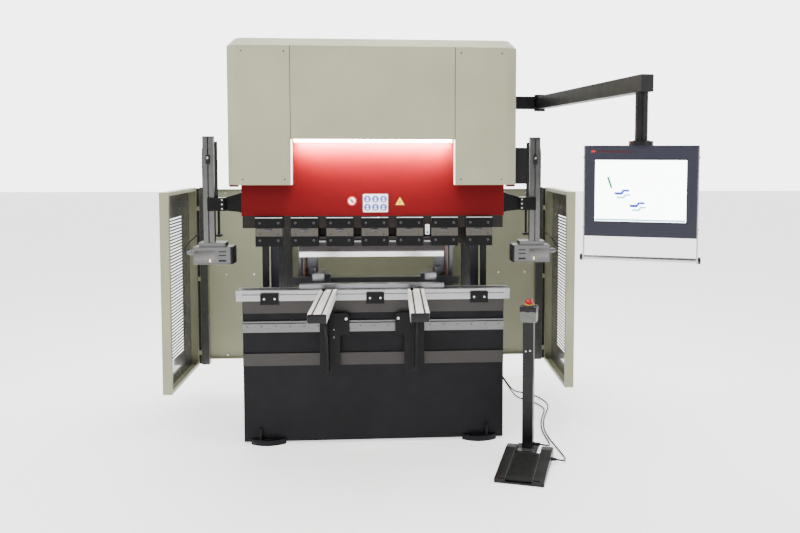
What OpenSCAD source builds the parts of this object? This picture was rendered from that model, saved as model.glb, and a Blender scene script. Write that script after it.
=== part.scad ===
// Compact hydraulic press brake with sheet supports, light-curtain posts, side
// guards, swinging control panel and a free-standing foot control.
// X runs along the bed, Y towards the back, Z up. The origin lies on the floor
// at the centre of the four anchor holes. Inside the modules, y is counted from
// the bending line, and at_bending_line() moves the finished piece into place.

/* [Frame] */
// Length of the bed and of the ram
bed_len = 1500; // [1200:10:2000]
// Clear width between the two side frames
frame_gap = 1180; // [900:10:1500]
// Thickness of a side frame plate
frame_t = 50; // [30:1:70]
// Back edge of the side frames, behind the bending line
frame_back = 980; // [900:10:1200]
// Top of the side frames above the floor
frame_top = 2180; // [2150:10:2600]
// Depth of the throat behind the bending line
throat = 300; // [200:5:360]
// Gap between the floor and the underside of the frame
floor_gap = 12; // [5:1:30]

/* [Bed] */
// Height of the bed's machined top above the floor
bed_top = 833; // [780:1:900]
// Thickness of the bed beam
bed_t = 110; // [80:1:140]
// Height of the machined plate on top of the bed beam
top_plate_h = 71; // [50:1:90]
// Height of the die rail
rail_h = 60; // [50:1:80]
// Length of the die rail beyond the bed at each end
rail_over = 35; // [0:1:50]
// Height of the die
die_h = 60; // [55:1:90]
// Thickness of the die, front to back
die_t = 60; // [40:1:80]
// Length of the die and of the punch
tool_len = 835; // [415:5:1100]
// Opening of the V groove in the die
vee_w = 16; // [10:1:30]

/* [Ram] */
// Opening between punch tip and die with the ram fully up
daylight = 156; // [120:1:200]
// Height of the punch below its shoulder
punch_h = 68; // [60:1:110]
// Height of the punch holders
holder_h = 104; // [90:1:130]
// Height of the bar under the ram
clamp_bar_h = 70; // [50:1:90]
// Thickness of the ram plate
ram_t = 80; // [60:1:90]
// Height of the ram plate
ram_h = 511; // [450:1:520]
// Number of punch holders
holders = 7; // [3:1:9]
// Distance from one punch holder to the next
holder_pitch = 200; // [175:1:250]
// Width of a punch holder
holder_w = 153; // [100:1:170]

/* [Hydraulics] */
// Radius of a piston rod
rod_r = 38; // [25:1:48]
// Radius of a piston
piston_r = 50; // [42:1:60]
// Distance between the two cylinder axes
cylinder_gap = 1230; // [950:10:1550]

/* [Hood] */
// Overall width of the hood
hood_w = 1618; // [1600:2:2100]
// Front face of the hood, in front of the bending line
hood_front = 150; // [130:1:200]
// Underside of the hood above the floor
hood_low = 1499; // [1460:1:1560]
// Height of the hood's front panels
hood_h = 768; // [700:1:1000]
// Width of the hood's chamfered vertical corners
hood_cut = 57; // [20:1:80]
// Height of the sloping edge round the hood's top
hood_slope = 45; // [20:1:60]
// Width of the centre front panel
hood_window = 914; // [700:2:1100]
// Height of the opening under the centre front panel
window_h = 254; // [200:1:300]
// Sheet thickness of the hood
sheet_t = 3; // [2:0.5:4]

/* [Support arms] */
// Reach of a support arm in front of the bed
arm_len = 691; // [400:1:900]
// Width of the slotted arm profile
arm_w = 93; // [80:1:110]
// Height of the slotted arm profile
arm_h = 45; // [40:1:60]
// Distance of the left arm's middle from the machine's middle
arm_left = 262; // [200:1:450]
// Distance of the right arm's middle from the machine's middle
arm_right = 238; // [200:1:450]
// Width of a slot in the arm profile
slot_w = 10; // [8:1:14]

/* [Guards] */
// Distance from the machine's middle to the left side door
guard_left = 1240; // [1150:5:1500]
// Distance from the machine's middle to the right side door
guard_right = 1190; // [1150:5:1500]
// Front edge of the side doors, behind the bending line
door_front = 265; // [100:5:500]
// Thickness of a side door
door_t = 55; // [40:1:80]
// Lower edge of the side doors above the floor
door_low = 200; // [100:5:400]
// Height of the side doors
door_h = 1238; // [900:2:1500]

/* [Control panel] */
// Height of the pendant arm's underside above the floor
pendant_z = 1945; // [1900:1:2100]
// Length of the swinging pendant arm
pendant_len = 1368; // [900:4:1800]
// Width of the control panel
panel_w = 484; // [400:2:700]
// Height of the control panel
panel_h = 404; // [300:2:500]
// Thickness of the control panel
panel_t = 58; // [40:1:90]

/* [Foot control] */
// Width of the foot control
foot_w = 256; // [220:2:320]
// Height of the post that carries the stop button
post_h = 732; // [500:1:1000]

/* [Hidden] */
$fn = 48;

// Clearances: sliding faces, and running pins in their bores
gap = 0.3;
pin_gap = 0.05;

// Frame
frame_in = frame_gap / 2;
frame_out = frame_in + frame_t;
bed_half = bed_len / 2;
bed_back = 60;
bed_front = bed_back - bed_t;
top_front = bed_front - 10;
beam_top = bed_top - top_plate_h;

// Anchor holes in the foot pads
anchor_x = frame_in - 30;
pad_hole_in = 20;
anchor_side = -50;
bolt_gap = 92;
anchor_r = 9;
bolt_r = 8;
front_anchor = bed_front - pad_hole_in;
back_anchor = frame_back + pad_hole_in;
bending_line = -(front_anchor + back_anchor) / 2;

// Tools, from the die upwards
seat_z = bed_top + 28;
die_top = seat_z + die_h;
punch_tip = die_top + daylight;
shoulder_z = punch_tip + punch_h;
bar_low = shoulder_z + holder_h;
ram_low = bar_low + clamp_bar_h;
ram_top = ram_low + ram_h;
stroke = daylight - 6;
ram_back = ram_t / 2 - 2;
ram_front = ram_back - ram_t;
tool_mid = -14;
holder_mid = 5;
body_low = shoulder_z + 58;
tang_half = 7;
bar_front = ram_front + 4;

// Throat
throat_low = bed_top - 43;
throat_high = ram_low + 21;

// Hydraulics
cylinder_wall = 25;
cylinder_y = min(ram_back - 2 - rod_r, bed_back - 10 - piston_r);
gland_z = ram_top + 70;
piston_h = 35;
piston_top = gland_z + 40 + stroke + piston_h;
cylinder_top = piston_top + 45;

// Hood
hood_half = hood_w / 2;
hood_back = 140;
hood_high = hood_low + hood_h;
window_half = hood_window / 2;
window_z = hood_low + window_h;
window_return = 100;
tube = 40;

// Support arms
arm_top = bed_top + 65;
arm_low = arm_top - arm_h;
arm_rear = top_front - 19;
rail_low = bed_top - 181;
rail_high = bed_top - 117;
strip_low = bed_top - 375;
strip_high = bed_top - 304;
rail_front = bed_front - 26;
plate_back = rail_front - 18;
plate_front = plate_back - 10;

// Guards
door_back = frame_back - 25;
hinge_y = frame_back - 15;
hinge_out = 62;
post_in = 70;
post_out = 16;
guard_h = door_h - 11;
hinge_heights = [door_low + 100, door_low + door_h / 2, door_low + door_h - 130];

// Hinges of all the doors
knuckle_h = 30;
knuckle_r = 10;
hinge_pin_r = 6;

// Electric cabinet
cabinet_in = frame_in - 30;
cabinet_out = frame_in + 510;
cabinet_front = frame_back + 25;
cabinet_depth = 281;
cabinet_low = 300;
cabinet_high = 1350;
cabinet_back = cabinet_front + cabinet_depth;
cabinet_hinge = [cabinet_out + 12, cabinet_back + 8];

// Light-curtain posts on the ram
laser_x = bed_half + 180;
laser_w = 60;
laser_high = hood_low + 266;
laser_low = punch_tip + 88;
head_high = laser_low - 20;
head_low = head_high - 100;
clamp_low = ram_low + 31;
clamp_high = clamp_low + 74;

// Back gauge
gauge_y = 330;
gauge_rail_z = bed_top - 193;
tower_low = bed_top - 63;
tower_high = ram_low - 69;
tower_in = 370;
tower_out = 490;
screw_x = 450;
screw_y = 410;
screw_r = 16;
beam_high = die_top - 16;
beam_low = beam_high - 45;
finger_x = 330;

// Control panel
swing_x = 1000;
swing_y = 200;
swing_in = 8.4;
pivot_r = 34;
arm_box = [58, 75];
panel_yaw = -19.5;
panel_x = swing_x + pendant_len * sin(swing_in);
panel_y = swing_y - pendant_len * cos(swing_in);
panel_top = pendant_z - 233;
screen_w = panel_w - 93;
screen_h = panel_h - 132;
screen_low = panel_top - 64 - screen_h;
handle_z = panel_top - panel_h - 99;
post_pin_r = 12;

// Foot control
foot_x = 804.5;
foot_y = -512;
foot_yaw = -18;
foot_back = 345;
foot_front = -213;
wedge_back = 213;
post_u = -27;
post_v = 301;
post_w = 60;
heel_v = -195;
heel_z = 24;
box_half = 45;
box_h = 86;
button_gap = 8;
stem_r = 11;

// Cords: routes chosen by hand, counted from the bending line
cord_r = 4.5;
pedal_route = [
    [690, 785, 245], [725, 785, 244], [765, 786, 232], [808, 790, 200], [850, 796, 150],
    [890, 803, 95], [925, 810, 45], [962, 816, 14], [1002, 814, 6], [1042, 788, 6], [1078, 738, 6],
    [1108, 676, 6], [1128, 610, 6], [1134, 540, 6], [1124, 470, 6], [1102, 398, 6], [1076, 320, 6],
    [1053, 240, 6], [1035, 160, 6], [1023, 80, 6], [1018, 0, 6], [1020, -80, 6], [1026, -160, 6],
    [1034, -240, 6], [1042, -320, 6], [1046, -375, 6], [1044, -412, 8], [1031, -444, 13],
    [1001, -457, 21], [985, -455, 24]
];
stop_route = [
    [690, 735, 245], [725, 735, 244], [765, 734, 232], [808, 730, 200], [850, 724, 150],
    [888, 716, 95], [922, 706, 45], [954, 690, 14], [988, 664, 6], [1024, 624, 6], [1056, 574, 6],
    [1080, 516, 6], [1092, 458, 6], [1084, 396, 6], [1060, 318, 6], [1037, 238, 6], [1019, 158, 6],
    [1008, 80, 6], [1003, 0, 6], [1003, -70, 6], [1005, -135, 6], [1001, -193, 9],
    [988, -226, 15], [954, -243, 26], [938, -239, 28]
];

function unit(v) = v / norm(v);

// One point of a Catmull-Rom curve between b and c, at t from 0 to 1
function curve_point(a, b, c, d, t) =
    0.5 * (2 * b + (c - a) * t + (2 * a - 5 * b + 4 * c - d) * t * t
    + (3 * b - a - 3 * c + d) * t * t * t);

// A route's points with extra ones between them, on a smooth curve
function smooth(route, steps) = let(last = len(route) - 1) concat(
    [for (i = [0:last - 1]) for (s = [0:steps - 1])
        curve_point(route[max(i - 1, 0)], route[i], route[i + 1], route[min(i + 2, last)], s / steps)],
    [route[last]]);

function direction(path, i) = unit(path[min(i + 1, len(path) - 1)] - path[max(i - 1, 0)]);

// A round cord along a path, as one closed solid
module cord(path, r, sides = 8) {
    count = len(path);
    rings = [for (i = [0:count - 1])
        let(along = direction(path, i), side = unit(cross(along, [0, 0, 1])), up = cross(side, along))
        for (k = [0:sides - 1])
            path[i] + r * (cos(k * 360 / sides) * side + sin(k * 360 / sides) * up)];
    walls = [for (i = [0:count - 2]) for (k = [0:sides - 1])
        let(a = i * sides + k, b = i * sides + (k + 1) % sides)
        [a, a + sides, b + sides, b]];
    first = [for (k = [0:sides - 1]) k];
    last = [for (k = [sides - 1:-1:0]) (count - 1) * sides + k];
    polyhedron(rings, concat(walls, [first, last]));
}

// The offset side of a bent sheet, mitred at its bends; positive lies to the left
function left_of(a, b) = let(d = unit(b - a)) [-d.y, d.x];
function sheet_side(p, t) = let(last = len(p) - 1) [for (i = [0:last])
    i == 0 ? p[0] + t * left_of(p[0], p[1])
    : i == last ? p[last] + t * left_of(p[last - 1], p[last])
    : let(m = left_of(p[i - 1], p[i]), n = left_of(p[i], p[i + 1])) p[i] + t * (m + n) / (1 + m * n)];

module sheet_2d(p, t) {
    other = sheet_side(p, t);
    polygon(concat(p, [for (i = [len(p) - 1:-1:0]) other[i]]));
}

module block(lo, hi) translate(lo) cube(hi - lo);

// An outline drawn in y and z, or in x and z, made as thick as x0..x1 or y0..y1
module along_x(x0, x1) translate([x0, 0, 0]) rotate([90, 0, 90]) linear_extrude(x1 - x0) children();
module along_y(y0, y1) translate([0, y1, 0]) rotate([90, 0, 0]) linear_extrude(y1 - y0) children();
module along_z(z0, z1) translate([0, 0, z0]) linear_extrude(z1 - z0) children();

module rod_x(x0, x1, y, z, r) translate([x0, y, z]) rotate([0, 90, 0]) cylinder(h = x1 - x0, r = r);
module rod_y(x, y0, y1, z, r) translate([x, y1, z]) rotate([90, 0, 0]) cylinder(h = y1 - y0, r = r);
module rod_z(x, y, z0, z1, r) translate([x, y, z0]) cylinder(h = z1 - z0, r = r);

module both_sides() {
    children();
    mirror([1, 0, 0]) children();
}

module at_bending_line() translate([0, bending_line, 0]) children();

module at_foot() at_bending_line() translate([foot_x, foot_y, 0]) rotate([0, 0, foot_yaw]) children();

module at_panel() at_bending_line() translate([panel_x, panel_y, 0]) rotate([0, 0, panel_yaw]) children();

// ---- Frame and bed ----

module side_frames() color("#2a2c30") at_bending_line() both_sides() along_x(frame_in, frame_out) {
    r = 60;
    difference() {
        translate([bed_back, floor_gap]) square([frame_back - bed_back, frame_top - floor_gap]);
        translate([bed_back - 1, throat_low]) square([throat - r - bed_back + 1, throat_high - throat_low]);
        translate([bed_back, throat_low + r]) square([throat - bed_back, throat_high - throat_low - 2 * r]);
        translate([throat - r, throat_low + r]) circle(r);
        translate([throat - r, throat_high - r]) circle(r);
        translate([frame_back, frame_top]) rotate(45) square(260, center = true);
    }
}

module bed_beam() color("#25272b") at_bending_line()
    block([-bed_half, bed_front, floor_gap], [bed_half, bed_back, beam_top]);

module bed_plates() color("#5d5c57") at_bending_line() {
    block([-bed_half, top_front, beam_top], [bed_half, bed_back, bed_top]);
    block([-bed_half, top_front, strip_low], [bed_half, bed_front, strip_high]);
}

module die_rail() color("#b9bab8") at_bending_line() {
    half = bed_half + rail_over;
    seat = die_t / 2 + gap;
    difference() {
        block([-half, top_front, bed_top], [half, bed_back, bed_top + rail_h]);
        block([-half - 1, -seat, seat_z], [half + 1, seat, bed_top + rail_h + 1]);
    }
}

module die() color("#d8d8d6") at_bending_line() {
    x0 = tool_mid - tool_len / 2;
    vee_depth = vee_w / 2 / tan(44);
    along_x(x0, x0 + tool_len) polygon([
        [-die_t / 2, seat_z], [die_t / 2, seat_z], [die_t / 2, die_top], [vee_w / 2, die_top],
        [0, die_top - vee_depth], [-vee_w / 2, die_top], [-die_t / 2, die_top]]);
}

module die_clamps() color("#1c1c1e") at_bending_line() for (k = [-1:1]) {
    mid = k * bed_len * 0.4 + holder_mid;
    difference() {
        block([mid - 51, top_front - 16, bed_top - 18], [mid + 51, top_front, bed_top + 46]);
        for (s = [-30, 30]) rod_y(mid + s, top_front - 17, top_front - 8, bed_top + 14, 7);
    }
}

module arm_rail() color("#8c8b80") at_bending_line() {
    mid = (rail_low + rail_high) / 2;
    block([-bed_half, bed_front - 12, rail_low], [bed_half, bed_front, rail_high]);
    block([-bed_half, rail_front, mid - 8], [bed_half, bed_front - 12, mid + 20]);
}

module rear_beam() color("#2a2c30") at_bending_line()
    block([-frame_in, frame_back - 50, 80], [frame_in, frame_back - 20, 480]);

// A pad with a rounded outer edge; its straight edge is welded to the frame
module foot_pad(dir) along_z(0, 30) difference() {
    intersection() {
        translate([0, -dir * 105]) circle(150);
        translate([-100, dir > 0 ? 0 : -45]) square([200, 45]);
    }
    translate([anchor_side, dir * pad_hole_in]) circle(anchor_r);
    translate([anchor_side + bolt_gap, dir * pad_hole_in]) circle(bolt_r + pin_gap);
}

module foot_pads() color("#33343a") at_bending_line() both_sides() {
    translate([anchor_x - anchor_side, bed_front, 0]) foot_pad(-1);
    translate([anchor_x - anchor_side, frame_back, 0]) foot_pad(1);
}

module level_bolts() color("#3a3a3d") at_bending_line() both_sides() for (y = [front_anchor, back_anchor]) {
    rod_z(anchor_x + bolt_gap, y, 2, 96, bolt_r);
    translate([anchor_x + bolt_gap, y, 30]) cylinder(h = 10, r = 15, $fn = 6);
}

// ---- Hydraulics ----

// A closed box with walls of one thickness
module shell_box(lo, hi, wall) difference() {
    block(lo, hi);
    block([for (v = lo) v + wall], [for (v = hi) v - wall]);
}

module hydraulic_unit() color("#3f4247") at_bending_line() {
    tank_top = frame_top - 140;
    tank_low = tank_top - 290;
    mid_y = frame_back - 300;
    shell_box([-frame_in, mid_y - 200, tank_low], [frame_in, mid_y + 200, tank_top], 5);
    for (s = [-90, 90]) block([s - 12, mid_y - 70, tank_top], [s + 12, mid_y + 70, tank_top + 30]);
    difference() {
        union() {
            rod_x(-150, 150, mid_y, tank_top + 105, 80);
            rod_x(150, 230, mid_y, tank_top + 105, 60);
        }
        block([-160, mid_y - 100, tank_top], [160, mid_y + 100, tank_top + 30]);
    }
    block([-430, mid_y - 60, tank_top], [-280, mid_y + 60, tank_top + 95]);
}

module cylinders() color("#3a3d42") at_bending_line() both_sides() difference() {
    mid = cylinder_gap / 2;
    half = piston_r + cylinder_wall;
    block([mid - half, cylinder_y - half, gland_z], [mid + half, bed_back, cylinder_top]);
    rod_z(mid, cylinder_y, gland_z - 1, gland_z + 36, rod_r + pin_gap);
    rod_z(mid, cylinder_y, gland_z + 35, piston_top + 25, piston_r + pin_gap);
}

module piston_rods() color("#d5d7d9") at_bending_line() both_sides() {
    mid = cylinder_gap / 2;
    rod_z(mid, cylinder_y, ram_top, piston_top - piston_h, rod_r);
    rod_z(mid, cylinder_y, piston_top - piston_h, piston_top, piston_r);
}

module ram_guides() color("#8d9093") at_bending_line() both_sides()
    block([frame_in, ram_back + gap, throat_high + 5], [frame_out, bed_back, ram_top]);

module linear_scales() color("#17181a") at_bending_line() both_sides() {
    block([frame_out + 10, throat - 40, bed_top - 33], [frame_out + 45, throat, ram_low + 81]);
    for (z = [throat_low - 30, throat_high + 10])
        block([frame_out, throat - 35, z], [frame_out + 10, throat - 5, z + 40]);
}

// ---- Hood ----

module hood_frame() color("#6a6c6e") at_bending_line() {
    back = sheet_t - hood_front;
    half = hood_half - hood_cut - sheet_t;
    block([-half, back, frame_top], [half, back + tube, frame_top + tube]);
    both_sides() block([frame_in, back + tube, frame_top], [frame_out, hood_back, frame_top + tube]);
}

module hood_sides() color("#b8b8a3") at_bending_line() both_sides() {
    along_z(hood_low, hood_high) sheet_2d([
        [-window_half, -hood_front], [hood_cut - hood_half, -hood_front],
        [-hood_half, hood_cut - hood_front], [-hood_half, hood_back]], -sheet_t);
    block([-window_half - sheet_t, -hood_front, hood_low], [-window_half, window_return - hood_front, window_z]);
}

module hood_centre() color("#b8b8a3") at_bending_line() along_x(2 - window_half, window_half - 2)
    sheet_2d([[window_return - 10 - hood_front, window_z], [-hood_front, window_z], [-hood_front, hood_high]], -sheet_t);

// Half outline of the hood's top, drawn inside the hood's front and side faces
module hood_plan(inset, back) {
    x = hood_half - inset;
    y = inset - hood_front;
    cut = hood_cut - 0.586 * inset;
    polygon([[cut - x, y], [x - cut, y], [x, y + cut], [x, back], [-x, back], [-x, y + cut]]);
}

module hood_top() color("#bdbda9") at_bending_line() difference() {
    thin = 0.01;
    hull() {
        along_z(hood_high, hood_high + thin) hood_plan(0, hood_back);
        along_z(hood_high + hood_slope - thin, hood_high + hood_slope) hood_plan(hood_slope, hood_back);
    }
    hull() {
        along_z(hood_high - 1, hood_high + thin) hood_plan(sheet_t, hood_back - sheet_t);
        along_z(hood_high + hood_slope - sheet_t - thin, hood_high + hood_slope - sheet_t)
            hood_plan(hood_slope + sheet_t, hood_back - sheet_t);
    }
}

module light_bar() color("#fff4e8") at_bending_line()
    block([17 - window_half, 10 - hood_front, window_z - 15], [window_half - 17, 40 - hood_front, window_z]);

module rear_cover() color("#a9ab98") at_bending_line()
    block([-frame_in, frame_back - 28, bed_top - 133], [frame_in, frame_back - 25, frame_top - 435]);

module junction_box() color("#141416") at_bending_line() shell_box(
    [hood_half, 110 - hood_front, hood_low + 1], [hood_half + 71, hood_back - 10, hood_low + 211], sheet_t);

// ---- Electric cabinet ----

// The lower barrel of a hinge and the pin that stands in it
module hinge_pin(at, z) {
    rod_z(at.x, at.y, z - knuckle_h, z, knuckle_r);
    rod_z(at.x, at.y, z, z + knuckle_h - 2, hinge_pin_r);
}

module hinge_knuckle(at, z) rod_z(at.x, at.y, z + gap, z + knuckle_h, knuckle_r);

module hinge_bore(at, z) rod_z(at.x, at.y, z, z + knuckle_h + 1, hinge_pin_r + pin_gap);

module cabinet() color("#b0b09c") at_bending_line() {
    w = 4;
    difference() {
        block([cabinet_in, cabinet_front, cabinet_low], [cabinet_out, cabinet_back, cabinet_high]);
        block([cabinet_in + w, cabinet_front + w, cabinet_low + w],
            [cabinet_out - w, cabinet_back + 1, cabinet_high - w]);
    }
    for (z = [cabinet_low + 60, cabinet_high - 160])
        block([frame_in + 5, frame_back, z], [frame_out - 5, cabinet_front, z + 100]);
    for (z = [cabinet_low + 120, cabinet_high - 120]) {
        block([cabinet_out, cabinet_back - 30, z - 30], [cabinet_out + 6, cabinet_hinge.y, z]);
        hinge_pin(cabinet_hinge, z);
    }
}

module cabinet_door() color("#b6b6a2") at_bending_line() difference() {
    union() {
        shell_box([cabinet_in + 2, cabinet_back + gap, cabinet_low + 2],
            [cabinet_out - 2, cabinet_back + 20, cabinet_high - 2], 2);
        for (z = [cabinet_low + 120, cabinet_high - 120]) {
            block([cabinet_out - 4, cabinet_back + gap, z + gap], [cabinet_out + 8, cabinet_back + 14, z + 30]);
            hinge_knuckle(cabinet_hinge, z);
        }
        block([cabinet_in + 30, cabinet_back + 19, 780], [cabinet_in + 55, cabinet_back + 48, 920]);
    }
    for (z = [cabinet_low + 120, cabinet_high - 120]) hinge_bore(cabinet_hinge, z);
}

// ---- Side guards ----

// The panel, post and hinge pins of one side, drawn for the right-hand one
module guard_panel(reach) {
    low = door_low + 40;
    high = door_low + guard_h;
    along_z(low, high) sheet_2d([
        [frame_out, frame_back - 40], [frame_out, frame_back + 8],
        [reach - post_in, frame_back + 8]], sheet_t * -1);
    for (z = [low, high - 3])
        block([frame_out + sheet_t, frame_back - 22, z], [reach - post_in, frame_back + 5, z + 3]);
    difference() {
        block([reach - post_in, frame_back - 20, door_low], [reach - post_out, frame_back + 34, door_low + door_h]);
        block([reach - post_in + 3, frame_back - 17, door_low - 1],
            [reach - post_out - 3, frame_back + 31, door_low + door_h + 1]);
    }
    for (z = hinge_heights) {
        block([reach - post_out, hinge_y - 4, z - 30], [reach + hinge_out - 5, hinge_y + 4, z]);
        hinge_pin([reach + hinge_out, hinge_y], z);
    }
}

// A side door, a shallow pan open towards the machine, drawn for the right
module side_door(reach) {
    lip = 22;
    difference() {
        union() {
            difference() {
                block([reach, door_front, door_low], [reach + door_t, door_back, door_low + door_h]);
                block([reach + sheet_t, door_front + sheet_t, door_low + sheet_t],
                    [reach + door_t - sheet_t, door_back - sheet_t, door_low + door_h - sheet_t]);
                block([reach - 1, door_front + lip, door_low + lip],
                    [reach + sheet_t + 1, door_back - lip, door_low + door_h - lip]);
            }
            for (z = hinge_heights) {
                block([reach + door_t - 8, door_back - 1, z + gap], [reach + door_t, hinge_y - 2, z + 30]);
                block([reach + door_t - 8, hinge_y - 6, z + gap], [reach + hinge_out - 2, hinge_y + 2, z + 30]);
                hinge_knuckle([reach + hinge_out, hinge_y], z);
            }
        }
        for (z = hinge_heights) hinge_bore([reach + hinge_out, hinge_y], z);
    }
}

module guard_panels() color("#aeb09b") at_bending_line() {
    guard_panel(guard_right);
    mirror([1, 0, 0]) guard_panel(guard_left);
}

module door_left() color("#b4b6a0") at_bending_line() mirror([1, 0, 0]) side_door(guard_left);
module door_right() color("#b4b6a0") at_bending_line() side_door(guard_right);

// ---- Control panel on its pendant arm ----

module pendant_bracket() color("#26262a") at_bending_line() difference() {
    union() {
        block([frame_out, swing_y - arm_box.x / 2, pendant_z],
            [swing_x - 20, swing_y + arm_box.x / 2, pendant_z + arm_box.y]);
        rod_z(swing_x, swing_y, pendant_z - 12, pendant_z + 12, pivot_r);
        rod_z(swing_x, swing_y, pendant_z + arm_box.y - 12, pendant_z + arm_box.y + 12, pivot_r);
    }
    block([swing_x - pivot_r - 3, swing_y - pivot_r - 3, pendant_z + 12],
        [swing_x + pivot_r + 3, swing_y + pivot_r + 3, pendant_z + arm_box.y - 12]);
    rod_z(swing_x, swing_y, pendant_z - 13, pendant_z + arm_box.y + 13, post_pin_r + pin_gap);
}

module pendant_arm() color("#2b2b2e") at_bending_line() translate([swing_x, swing_y, 0]) rotate([0, 0, swing_in]) {
    low = pendant_z;
    high = pendant_z + arm_box.y;
    wall = 4;
    rod_z(0, 0, low - 12, high + 12, post_pin_r);
    difference() {
        union() {
            rod_z(0, 0, low + 12 + gap, high - 12 - gap, pivot_r);
            block([-arm_box.x / 2, -60, low + 12 + gap], [arm_box.x / 2, 0, high - 12 - gap]);
            block([-arm_box.x / 2, -pendant_len - 52, low], [arm_box.x / 2, -60, high]);
        }
        block([wall - arm_box.x / 2, 60 - pendant_len, low + wall], [arm_box.x / 2 - wall, -80, high - wall]);
        rod_z(0, -pendant_len, low - 1, low + 40, post_pin_r + pin_gap);
    }
}

module pendant_post() color("#2e3038") at_panel() {
    rod_z(0, 0, panel_top, panel_top + 20, 53);
    rod_z(0, 0, panel_top + 20, pendant_z - gap, 28);
    rod_z(0, 0, pendant_z - gap, pendant_z + 36, post_pin_r);
}

// The case's outline with its softened vertical edges, seen from above
module panel_case() color("#33343d") at_panel() difference() {
    w = panel_w / 2;
    along_z(panel_top - panel_h, panel_top) polygon([
        [4 - w, -panel_t / 2], [w - 4, -panel_t / 2], [w, 4 - panel_t / 2], [w, panel_t / 2 - 12],
        [w - 30, panel_t / 2], [30 - w, panel_t / 2], [-w, panel_t / 2 - 12], [-w, 4 - panel_t / 2]]);
    block([-screen_w / 2, -panel_t / 2 - 1, screen_low], [screen_w / 2, 8 - panel_t / 2, screen_low + screen_h]);
    block([30 - w, 14 - panel_t / 2, panel_top - panel_h + 6], [w - 30, panel_t / 2 - 6, panel_top - 6]);
}

module panel_screen() color("#f4f6ff") at_panel()
    block([-screen_w / 2, 2 - panel_t / 2, screen_low], [screen_w / 2, 8 - panel_t / 2, screen_low + screen_h]);

module panel_handle() color("#c4c6c8") at_panel() {
    both_sides() block([panel_w / 2, -12, handle_z - 12], [panel_w / 2 + 6, 12, panel_top]);
    rod_x(-panel_w / 2, panel_w / 2, 0, handle_z, 11);
    both_sides() rod_x(panel_w / 2 + 6, panel_w / 2 + 16, 0, handle_z, 15);
}

// ---- Ram and tools ----

module ram_plate() color("#b5121f") at_bending_line()
    block([-bed_half, ram_front, ram_low], [bed_half, ram_back, ram_top]);

module clamp_bar() color("#56554f") at_bending_line()
    block([5 - bed_half, bar_front, bar_low], [bed_half - 5, 22, ram_low]);

module at_holders() for (k = [0:holders - 1])
    translate([holder_mid + (k - (holders - 1) / 2) * holder_pitch, 0, 0]) children();

module holder_bodies() color("#a9a899") at_bending_line() at_holders() difference() {
    along_x(-holder_w / 2, holder_w / 2) polygon([
        [bar_front - 18, body_low], [tang_half + 0.2, body_low], [tang_half + 0.2, shoulder_z],
        [22, shoulder_z], [22, bar_low], [bar_front - 18, bar_low]]);
    rod_y(4, bar_front - 19, bar_front - 4, body_low + 33, 9);
    for (s = [-50, 50]) rod_y(s, bar_front - 19, bar_front - 8, body_low + 12, 5);
}

module holder_plates() color("#1d1e21") at_bending_line() at_holders() {
    half = holder_w / 2;
    difference() {
        block([-half, bar_front - 20, bar_low], [half, bar_front, ram_low - 11]);
        for (s = [-52, 52]) rod_y(s, bar_front - 21, bar_front - 10, bar_low + 30, 8);
    }
    difference() {
        block([-half, bar_front - 17, shoulder_z], [half, -tang_half, body_low]);
        for (s = [-52, 52]) rod_y(s, bar_front - 18, bar_front - 8, shoulder_z + 34, 8);
    }
}

module punch() color("#9b9c9c") at_bending_line() {
    x0 = tool_mid - tool_len / 2;
    neck = punch_tip + 30;
    half = 16;
    along_x(x0, x0 + tool_len) polygon([
        [tang_half, shoulder_z + 50], [-tang_half, shoulder_z + 50], [-tang_half, shoulder_z],
        [-half, shoulder_z], [-half, neck + 14], [-9, neck], [-0.8, punch_tip], [0.8, punch_tip],
        [9, neck], [half, neck + 14], [half, shoulder_z], [tang_half, shoulder_z]]);
}

// ---- Light-curtain posts, carried by the ram ----

module laser_brackets() color("#161618") at_bending_line() both_sides() {
    inner = laser_x - laser_w / 2;
    along_y(-34, -14) polygon([
        [bed_half, clamp_low - 10], [inner - 60, clamp_low], [inner - 60, clamp_high], [bed_half, clamp_high + 26]]);
    block([bed_half, -38, clamp_low - 12], [bed_half + 10, 10, clamp_high + 28]);
    difference() {
        block([inner - 60, -66, clamp_low], [inner + 34, 6, clamp_high]);
        block([inner - gap, -50 - gap, clamp_low - 1], [inner + 35, 7, clamp_high + 1]);
    }
}

// A square profile with a slot in its front and its back
module laser_post(side) translate([side * laser_x, 0, 0]) along_z(laser_low, laser_high) difference() {
    translate([-laser_w / 2, -50]) square([laser_w, 40]);
    for (y = [-50, -22]) translate([-4, y - 1]) square([8, 14]);
    for (y = [-46, -22]) translate([-9, y]) square([18, 8]);
}

module laser_head(side) {
    mid = side * (laser_x - 15);
    block([mid - 72, -52, head_high], [mid + 72, 48, laser_low]);
    block([mid - 103, -60, head_low], [mid + 103, 60, head_high]);
    rod_x(min(side * (mid * side + 103), side * (mid * side + 148)),
        max(side * (mid * side + 103), side * (mid * side + 148)), -10, head_low + 62, 11);
}

module laser_post_left() color("#c9cbcc") at_bending_line() laser_post(-1);
module laser_post_right() color("#c9cbcc") at_bending_line() laser_post(1);
module laser_head_left() color("#a4a6a8") at_bending_line() laser_head(-1);
module laser_head_right() color("#a4a6a8") at_bending_line() laser_head(1);

// ---- Sheet supports on the front rail ----

// A slotted profile lying along y, its middle at x = 0
module support_arm() difference() {
    block([-arm_w / 2, arm_rear - arm_len, arm_low], [arm_w / 2, arm_rear, arm_top]);
    for (s = [-1, 1]) {
        x = s * arm_w / 4;
        block([x - slot_w / 2, arm_rear - arm_len - 1, arm_top - 8], [x + slot_w / 2, arm_rear + 1, arm_top + 1]);
        block([x - slot_w, arm_rear - arm_len - 1, arm_top - 16], [x + slot_w, arm_rear + 1, arm_top - 8]);
    }
}

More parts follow.
